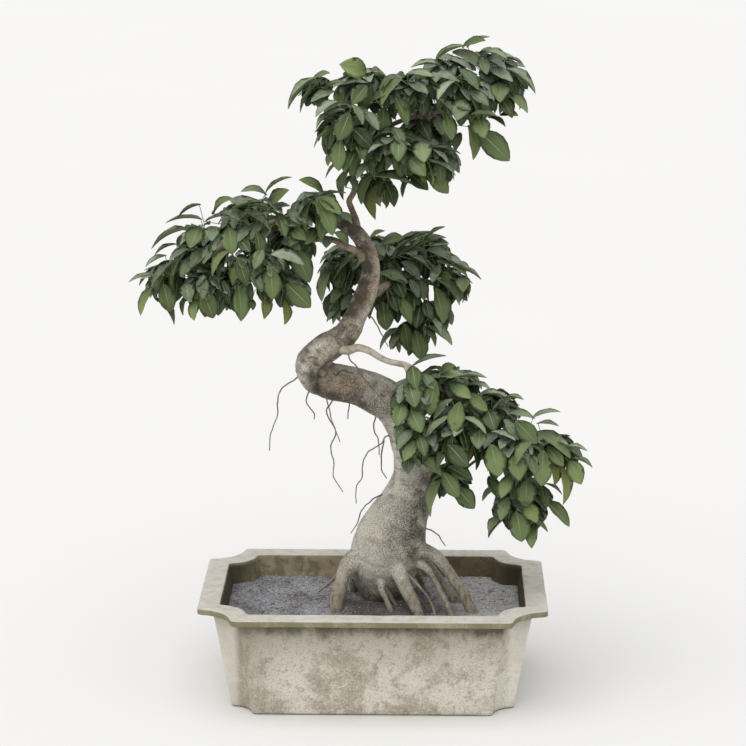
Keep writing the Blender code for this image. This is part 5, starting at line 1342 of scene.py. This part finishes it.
def twig_routes(masses):
    """wood's name -> a twig's route from its nearest thin stretch into each of its leaf masses."""
    samples = []
    hosts = {"limb": [LIMB_ROUTE], **BRANCHES}
    for name, branches in hosts.items():
        for points in branches:
            rows = smooth_route(planted(points), 0.012)
            samples += [(name, row) for row in rows if row[3] < TWIG_HOST_RADIUS]
    grown = {name: [] for name in hosts}
    ends = {}
    for mass, (pad, middle, half) in masses.items():
        target = middle - (0, 0, TWIG_DROP * half[2])
        near = [sample for sample in samples if sample[0] in PAD_WOOD[pad]]
        name, start = min(near, key=lambda sample: np.linalg.norm(sample[1][:3] - target))
        reach = np.linalg.norm(target - start[:3])
        ends[mass] = (name, start[:3] if reach < TWIG_SHORTEST else target)
        if reach >= TWIG_SHORTEST:
            bend = (start[:3] + target) / 2 + (0, 0, 0.12 * reach)
            base = min(start[3] * 0.9, 1.3 * TWIG_RADIUS)
            radii = (base, 1.1 * TWIG_RADIUS, 0.8 * TWIG_RADIUS)
            stops = zip((start[:3], bend, target), radii)
            grown[name].append([(*place, radius) for place, radius in stops])
    return grown, ends


# ------------------------------------------------------------------------------------ the leaves

LEAF_ROWS = np.array([0.05, 0.17, 0.34, 0.52, 0.70, 0.86, 0.95])
LEAF_COLUMNS = np.array([-1.0, -0.5, 0.0, 0.5, 1.0])
LEAF_LENGTH = 0.0445
LEAF_THICKNESS = 0.00045
LEAF_SLIMNESS = 0.27  # half width per length
FILL_SCALE = {
    "leaves_top_1": 0.70,
    "leaves_top_6": 0.86,
    "leaves_top_9": 0.92,
    "leaves_left_1": 0.85,
    "leaves_left_6": 0.86,
    "leaves_left_7": 0.80,
    "leaves_right_5": 0.90,
    "leaves_right_7": 0.88,
    "leaves_back_5": 0.84,
    "leaves_back_7": 0.78,
}
FILL_REACH = (0.84, 1.00)  # how far the filling leaves' tips reach, as a share of their ellipsoid
GOLDEN_ANGLE = math.pi * (3 - 5**0.5)
HUB_DIRECTIONS = np.array(
    [(0.8, 0.2, 0.3), (-0.2, 0.8, 0.5), (-0.8, -0.1, 0.1), (0.1, -0.8, 0.2), (0.1, 0.1, -0.7)]
)
LEAVES_PER_AREA = 19000  # filling leaves for a square metre of an ellipsoid's mean face
FEWEST_LEAVES, MOST_LEAVES = 20, 46
BURIED = 0.62  # a filling leaf this deep in a neighbouring mass, as a share of its ellipsoid, is left out


def leaf_pattern():
    """Numbers of the leaf's faces and their UVs: an upper and a lower grid that share their rim."""
    rows, columns = len(LEAF_ROWS), len(LEAF_COLUMNS)
    top = np.arange(rows * columns).reshape(rows, columns)
    low = top.copy()
    low[:, 1:-1] = rows * columns + np.arange(rows * (columns - 2)).reshape(rows, -1)
    base = rows * columns + rows * (columns - 2)
    tip = base + 1

    def cells(grid):
        corners = [grid[:-1, :-1], grid[1:, :-1], grid[1:, 1:], grid[:-1, 1:]]
        return np.stack(corners, axis=-1).reshape(-1, 4)

    def fans(grid):
        first = np.stack([np.full(columns - 1, base), grid[0, :-1], grid[0, 1:]], axis=1)
        last = np.stack([np.full(columns - 1, tip), grid[-1, 1:], grid[-1, :-1]], axis=1)
        return np.vstack([first, last])

    quads = np.vstack([cells(top), cells(low)[:, ::-1]])
    triangles = np.vstack([fans(top), fans(low)[:, ::-1]])
    across = (LEAF_COLUMNS + 1) / 4
    spot = np.zeros((tip + 1, 2))
    spot[top] = np.stack(np.broadcast_arrays(across[None, :], LEAF_ROWS[:, None]), axis=-1)
    spot[low[:, 1:-1]] = np.stack(np.broadcast_arrays(across[None, 1:-1], LEAF_ROWS[:, None]), axis=-1)
    spot[base], spot[tip] = (0.25, 0.0), (0.25, 1.0)
    shift_quads = np.repeat([0.0, 0.5], len(quads) // 2)[:, None]
    shift_triangles = np.repeat([0.0, 0.5], len(triangles) // 2)[:, None]
    quad_uv = spot[quads]
    quad_uv[..., 0] = quad_uv[..., 0] * 0.998 + 0.0005 + shift_quads
    triangle_uv = spot[triangles]
    triangle_uv[..., 0] = triangle_uv[..., 0] * 0.998 + 0.0005 + shift_triangles
    return quads, triangles, quad_uv, triangle_uv


LEAF_QUADS, LEAF_TRIANGLES, LEAF_QUAD_UV, LEAF_TRIANGLE_UV = leaf_pattern()


def leaf_points(base, ahead, up, length, width, bow, fold, ripple):
    """Points of many leaves at once, (leaves, points, 3).

    At share s along and t across, the rib is an arc that bows away from the upper side, the half
    width is width * sin(pi s^1.08)^0.68 * (1 - 0.3 s^6), both halves lift by fold times their distance
    from the rib, and the rim ripples by a sine of s.
    """
    s = LEAF_ROWS[None, :, None]
    t = LEAF_COLUMNS[None, None, :]
    length, width, bow, fold, ripple = (v[:, None, None] for v in (length, width, bow, fold, ripple))
    half = width * np.sin(np.pi * s**1.08) ** 0.68 * (1 - 0.30 * s**6)
    forward = length * np.sin(bow * s) / bow + 0 * t
    sideways = half * t
    lift = -length * (1 - np.cos(bow * s)) / bow + fold * np.abs(sideways)
    lift = lift + 0.07 * half * np.sin(11.0 * s + ripple + 1.5 * t) * t**2
    lower = lift - LEAF_THICKNESS * (1 - t**2)
    count = len(base)

    def flat(grid):
        return np.broadcast_to(grid, (count, len(LEAF_ROWS), grid.shape[2])).reshape(count, -1)

    reach = length[:, 0] * np.sin(bow[:, 0]) / bow[:, 0]
    drop = -length[:, 0] * (1 - np.cos(bow[:, 0])) / bow[:, 0]
    zero = np.zeros_like(reach)
    forward = np.hstack([flat(forward), flat(forward[:, :, 1:-1]), zero, reach])
    sideways = np.hstack([flat(sideways), flat(sideways[:, :, 1:-1]), zero, zero])
    lift = np.hstack([flat(lift), flat(lower[:, :, 1:-1]), zero, drop])
    side = np.cross(up, ahead)
    return (
        base[:, None]
        + forward[..., None] * ahead[:, None]
        + sideways[..., None] * side[:, None]
        + lift[..., None] * up[:, None]
    )


def turned(vectors, axes, angle):
    """Vectors turned about axes square to them."""
    angle = np.asarray(angle)[:, None]
    return vectors * np.cos(angle) + np.cross(axes, vectors) * np.sin(angle)


def laid_leaves(rows, rng):
    """Base, starting direction, upper side, length, width, bow and fold of the listed leaves.

    A leaf's blade turns about its chord until its half width looks as given from the front, its
    upper side to the front and to the sky.
    """
    base, tip, seen = rows[:, :3] / 1000, rows[:, 3:6] / 1000, rows[:, 6] / 1000
    chord = tip - base
    span = np.linalg.norm(chord, axis=1)
    chord = unit(chord)
    width = np.maximum(seen, LEAF_SLIMNESS * span)
    facing = unit(FRONT - (chord @ FRONT)[:, None] * chord)
    swing = np.arccos(np.clip(seen / width, 0.12, 1)) + rng.uniform(0.0, 0.22, len(rows))
    one, other = turned(facing, chord, swing), turned(facing, chord, -swing)
    up = np.where((one[:, 2] > other[:, 2])[:, None], one, other)
    bow = np.where(seen < 0.7 * width, rng.uniform(0.45, 0.85, len(rows)), rng.uniform(0.2, 0.5, len(rows)))
    length = span * (bow / 2) / np.sin(bow / 2)
    ahead = chord * np.cos(bow / 2)[:, None] + up * np.sin(bow / 2)[:, None]
    up = up * np.cos(bow / 2)[:, None] - chord * np.sin(bow / 2)[:, None]
    return base, ahead, up, length, width, bow, rng.uniform(0.28, 0.62, len(rows))


def make_leaf_mass(name, seed, middle, half, outward, others, root, material):
    """Leaves laid over an ellipsoid like shingles; returns the twiglets' routes that carry them.

    The filling leaves' middles lie on a golden spiral over the ellipsoid, drawn in a little. A leaf points
    away from the middle and hangs lower the lower it lies, and its upper side faces out. One whose
    tip would pass the ellipsoid is drawn back, and one deep inside a neighbouring mass is left out.
    """
    rng = np.random.default_rng(seed)
    half = half * FILL_SCALE.get(name, 1.0)
    face = (half[0] * half[1] + half[1] * half[2] + half[0] * half[2]) / 3
    count = int(np.clip(LEAVES_PER_AREA * face, FEWEST_LEAVES, MOST_LEAVES))
    k = np.arange(count)
    level = 1 - 1.72 * (k + 0.5) / count + rng.uniform(-0.05, 0.05, count)
    bearing = GOLDEN_ANGLE * k + rng.uniform(0, 2 * np.pi) + rng.uniform(-0.25, 0.25, count)
    flat = np.sqrt(1 - np.clip(level, -1, 1) ** 2)
    spoke = np.stack([flat * np.cos(bearing), flat * np.sin(bearing), level], axis=1)
    place = middle + spoke * half * rng.uniform(0.48, 0.78, (count, 1))
    buried = np.zeros(count, bool)
    for other_middle, other_half in others:
        buried |= np.linalg.norm((place - other_middle) / other_half, axis=1) < BURIED
    place, spoke, level = place[~buried], spoke[~buried], level[~buried]
    count = len(place)

    away = spoke[:, :2] + 0.45 * outward[:2]
    turn = np.arctan2(away[:, 1], away[:, 0]) + rng.normal(0, 0.50, count)
    pitch = np.radians(12 - 56 * (0.95 - level) + rng.uniform(-17, 17, count))
    pitch = np.clip(pitch, -1.40, 0.5)
    ahead = np.stack([np.cos(pitch) * np.cos(turn), np.cos(pitch) * np.sin(turn), np.sin(pitch)], axis=1)
    side = unit(np.cross((0, 0, 1.0), ahead))
    up = turned(np.cross(ahead, side), ahead, rng.normal(0, 0.36, count))
    length = LEAF_LENGTH * rng.uniform(0.84, 1.12, count)
    length *= np.where(rng.random(count) < 0.10, 0.72, 1.0)
    width = length * rng.uniform(0.245, 0.300, count)
    bow = rng.uniform(0.10, 0.65, count)
    fold = rng.uniform(0.15, 0.50, count)
    rise = up * (length * (1 - np.cos(bow)) / bow)[:, None]
    reach = ahead * (length * np.sin(bow) / bow)[:, None]
    tip = place + 0.5 * reach - 0.5 * rise
    beyond = np.linalg.norm((tip - middle) / half, axis=1)
    allowed = rng.uniform(*FILL_REACH, count)
    tip = middle + (tip - middle) * np.minimum(1, allowed / beyond)[:, None]
    base = tip - reach + rise
    # Painted shade: the filling leaves are dark, darker towards the front of the mass; the noise gives
    # leaf-to-leaf tone.
    tint_and_shade = np.clip(0.02 + 0.28 * np.clip(spoke[:, 1] + 0.35, 0, 1) + rng.normal(0, 0.15, count), 0, 1)
    age = np.where(rng.random(count) < 0.05, rng.uniform(0.3, 1.0, count), 0.0)

    rows = np.array(LAID_LEAVES.get(name, ()), float).reshape(-1, 9)
    shapes = laid_leaves(rows, rng)
    filled = (base, ahead, up, length, width, bow, fold)
    base, ahead, up, length, width, bow, fold = (np.concatenate(pair) for pair in zip(filled, shapes))
    tint_and_shade = np.append(tint_and_shade, (rows[:, 7] / 9) ** 1.7)
    age = np.append(age, rows[:, 8] / 9)
    count = len(base)

    blades = leaf_points(base, ahead, up, length, width, bow, fold, rng.uniform(0, 6.28, count))
    size = blades.shape[1]
    # Painted sheen on blades whose upper side faces the sky, high in the mass.
    painted_sheen = np.clip((up[:, 2] - 0.70) / 0.22, 0, 1) * rng.uniform(0.4, 1.0, count)
    painted_sheen *= np.clip((base[:, 2] - middle[2]) / half[2] + 0.75, 0, 1)
    step = size * np.arange(count)[:, None, None]
    quads, triangles = (LEAF_QUADS + step).reshape(-1, 4), (LEAF_TRIANGLES + step).reshape(-1, 3)
    shells = [(blades.reshape(-1, 3), quads, triangles)]
    quad_uv = [np.tile(LEAF_QUAD_UV, (count, 1, 1)).reshape(-1, 2)]
    triangle_uv = [np.tile(LEAF_TRIANGLE_UV, (count, 1, 1)).reshape(-1, 2)]

    hubs = middle + HUB_DIRECTIONS * 0.40 * half
    nearest = np.linalg.norm(base[:, None] - hubs[None], axis=2).argmin(axis=1)
    for start, end, along in zip(hubs[nearest], base, ahead):
        knee = 0.45 * start + 0.55 * end - along * 0.003
        route = np.array([[*start, 0.00062], [*knee, 0.00055], [*(end + along * 0.003), 0.00050]])
        stem = tube(route, 4)
        shells.append(stem)
        quad_uv.append(np.full((stem[1].size, 2), (0.25, 0.02)))
        triangle_uv.append(np.full((stem[2].size, 2), (0.25, 0.02)))
    mesh = new_mesh(name, joined(shells))
    layer = mesh.uv_layers.new(name="leaf")
    layer.data.foreach_set("uv", np.vstack(quad_uv + triangle_uv).ravel())
    spare = len(mesh.vertices) - count * size
    mark(mesh, "tint_and_shade", np.append(np.repeat(tint_and_shade, size), np.full(spare, 0.5)))
    mark(mesh, "painted_sheen", np.append(np.repeat(painted_sheen, size), np.zeros(spare)))
    mark(mesh, "age", np.append(np.repeat(age, size), np.full(spare, 0.35)))
    piece(f"{name}_foliage", mesh, material, "leaf", name)
    return [
        [(*root, 0.0014), (*((root + hubs[k]) / 2 + (0, 0, 0.003)), 0.0011), (*hubs[k], 0.0008)]
        for k in sorted(set(nearest.tolist()))
    ]


def make_wood_and_leaves():
    bark = trunk_bark()
    branch = thin_bark("branch_bark", (0.330, 0.265, 0.190), (0.125, 0.095, 0.066))
    pale_branch = thin_bark("pale_branch_bark", (0.560, 0.505, 0.415), (0.220, 0.180, 0.128))
    root_skin = thin_bark("aerial_root_skin", (0.300, 0.255, 0.205), (0.120, 0.092, 0.068))
    leaf = leaf_finish()
    masses = leaf_masses()
    twigs, ends = twig_routes(masses)
    for number, (name, (pad, middle, half)) in enumerate(masses.items()):
        wood, end = ends[name]
        centre = np.mean([m for p, m, _ in masses.values() if p == pad], axis=0)
        outward = (middle - centre) / 0.08
        others = [(m, h) for other, (_, m, h) in masses.items() if other != name]
        twigs[wood] += make_leaf_mass(name, 500 + number, middle, half, outward, others, end, leaf)
    make_trunk(bark)
    for name, routes in {"limb": [LIMB_ROUTE], **BRANCHES}.items():
        shells = [tube(smooth_route(planted(points), 0.0025), 12, 0.10, 90) for points in routes]
        shells += [tube(smooth_route(points, 0.004), 7, 0.08, 91) for points in twigs[name]]
        mesh = new_mesh(name, joined(shells))
        if name == "limb":
            piece("top_limb", mesh, branch, "trunk_bark", "trunk")
        else:
            bark_of_branch = pale_branch if name == "right" else branch
            piece(f"{name}_branch", mesh, bark_of_branch, "branch_bark", f"branch_{name}")
    shells = [tube(smooth_route(planted(points), 0.002), 10, 0.12, 95) for points in ROOTLETS]
    rootlet = thin_bark("rootlet_bark", (0.420, 0.360, 0.270), (0.180, 0.145, 0.100))
    piece("rootlets", new_mesh("rootlets", joined(shells)), rootlet, "trunk_bark", "trunk")
    for name, branches in AERIAL_ROOTS.items():
        shells = []
        for points in branches:
            radius = np.linspace(*AERIAL_RADIUS, len(points))
            rows = [(*point, r) for point, r in zip(planted(points), radius)]
            route = smooth_route(rows, 0.002)
            sway = np.stack([noise(route[:, :3] / 0.011, seed) for seed in (101, 102, 103)], axis=1)
            fade = np.clip(np.arange(len(route)) / 8, 0, 1)[:, None]
            route[:, :3] += 0.0011 * fade * sway
            shells.append(tube(route, 8, 0.15, 96))
        mesh = new_mesh(name, joined(shells))
        piece(f"hanging_root_{name}", mesh, root_skin, "aerial_root_skin", f"aerial_root_{name}")


# ------------------------------------------------------------------------------------ the floor


def make_floor():
    """A wide pale floor, level with the planter's foot."""
    f = Finish("floor")
    cloud = f.noise(0.6, 2.0)
    material = f.done(f.blend(cloud, (0.80, 0.80, 0.80), (0.83, 0.83, 0.83)), 0.9)
    mesh = bpy.data.meshes.new("floor")
    reach = 40.0
    corners = [(-reach, -reach, 0), (reach, -reach, 0), (reach, reach, 0), (-reach, reach, 0)]
    mesh.from_pydata(corners, [], [(0, 1, 2, 3)])
    mesh.materials.append(material)
    floor = bpy.data.objects.new("floor", mesh)
    floor.location.z = -0.0002
    bpy.context.scene.collection.objects.link(floor)


def main():
    bpy.context.scene.view_settings.view_transform = "Standard"
    make_camera()
    make_light()
    make_floor()
    make_planter(cast_stone())
    make_soil(soil_finish())
    make_wood_and_leaves()
    screen = screen_finish()
    for side in ("left", "right"):
        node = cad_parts[f"drain_screen_{side}"]
        for material_slot in node.material_slots:
            material_slot.material = screen


main()
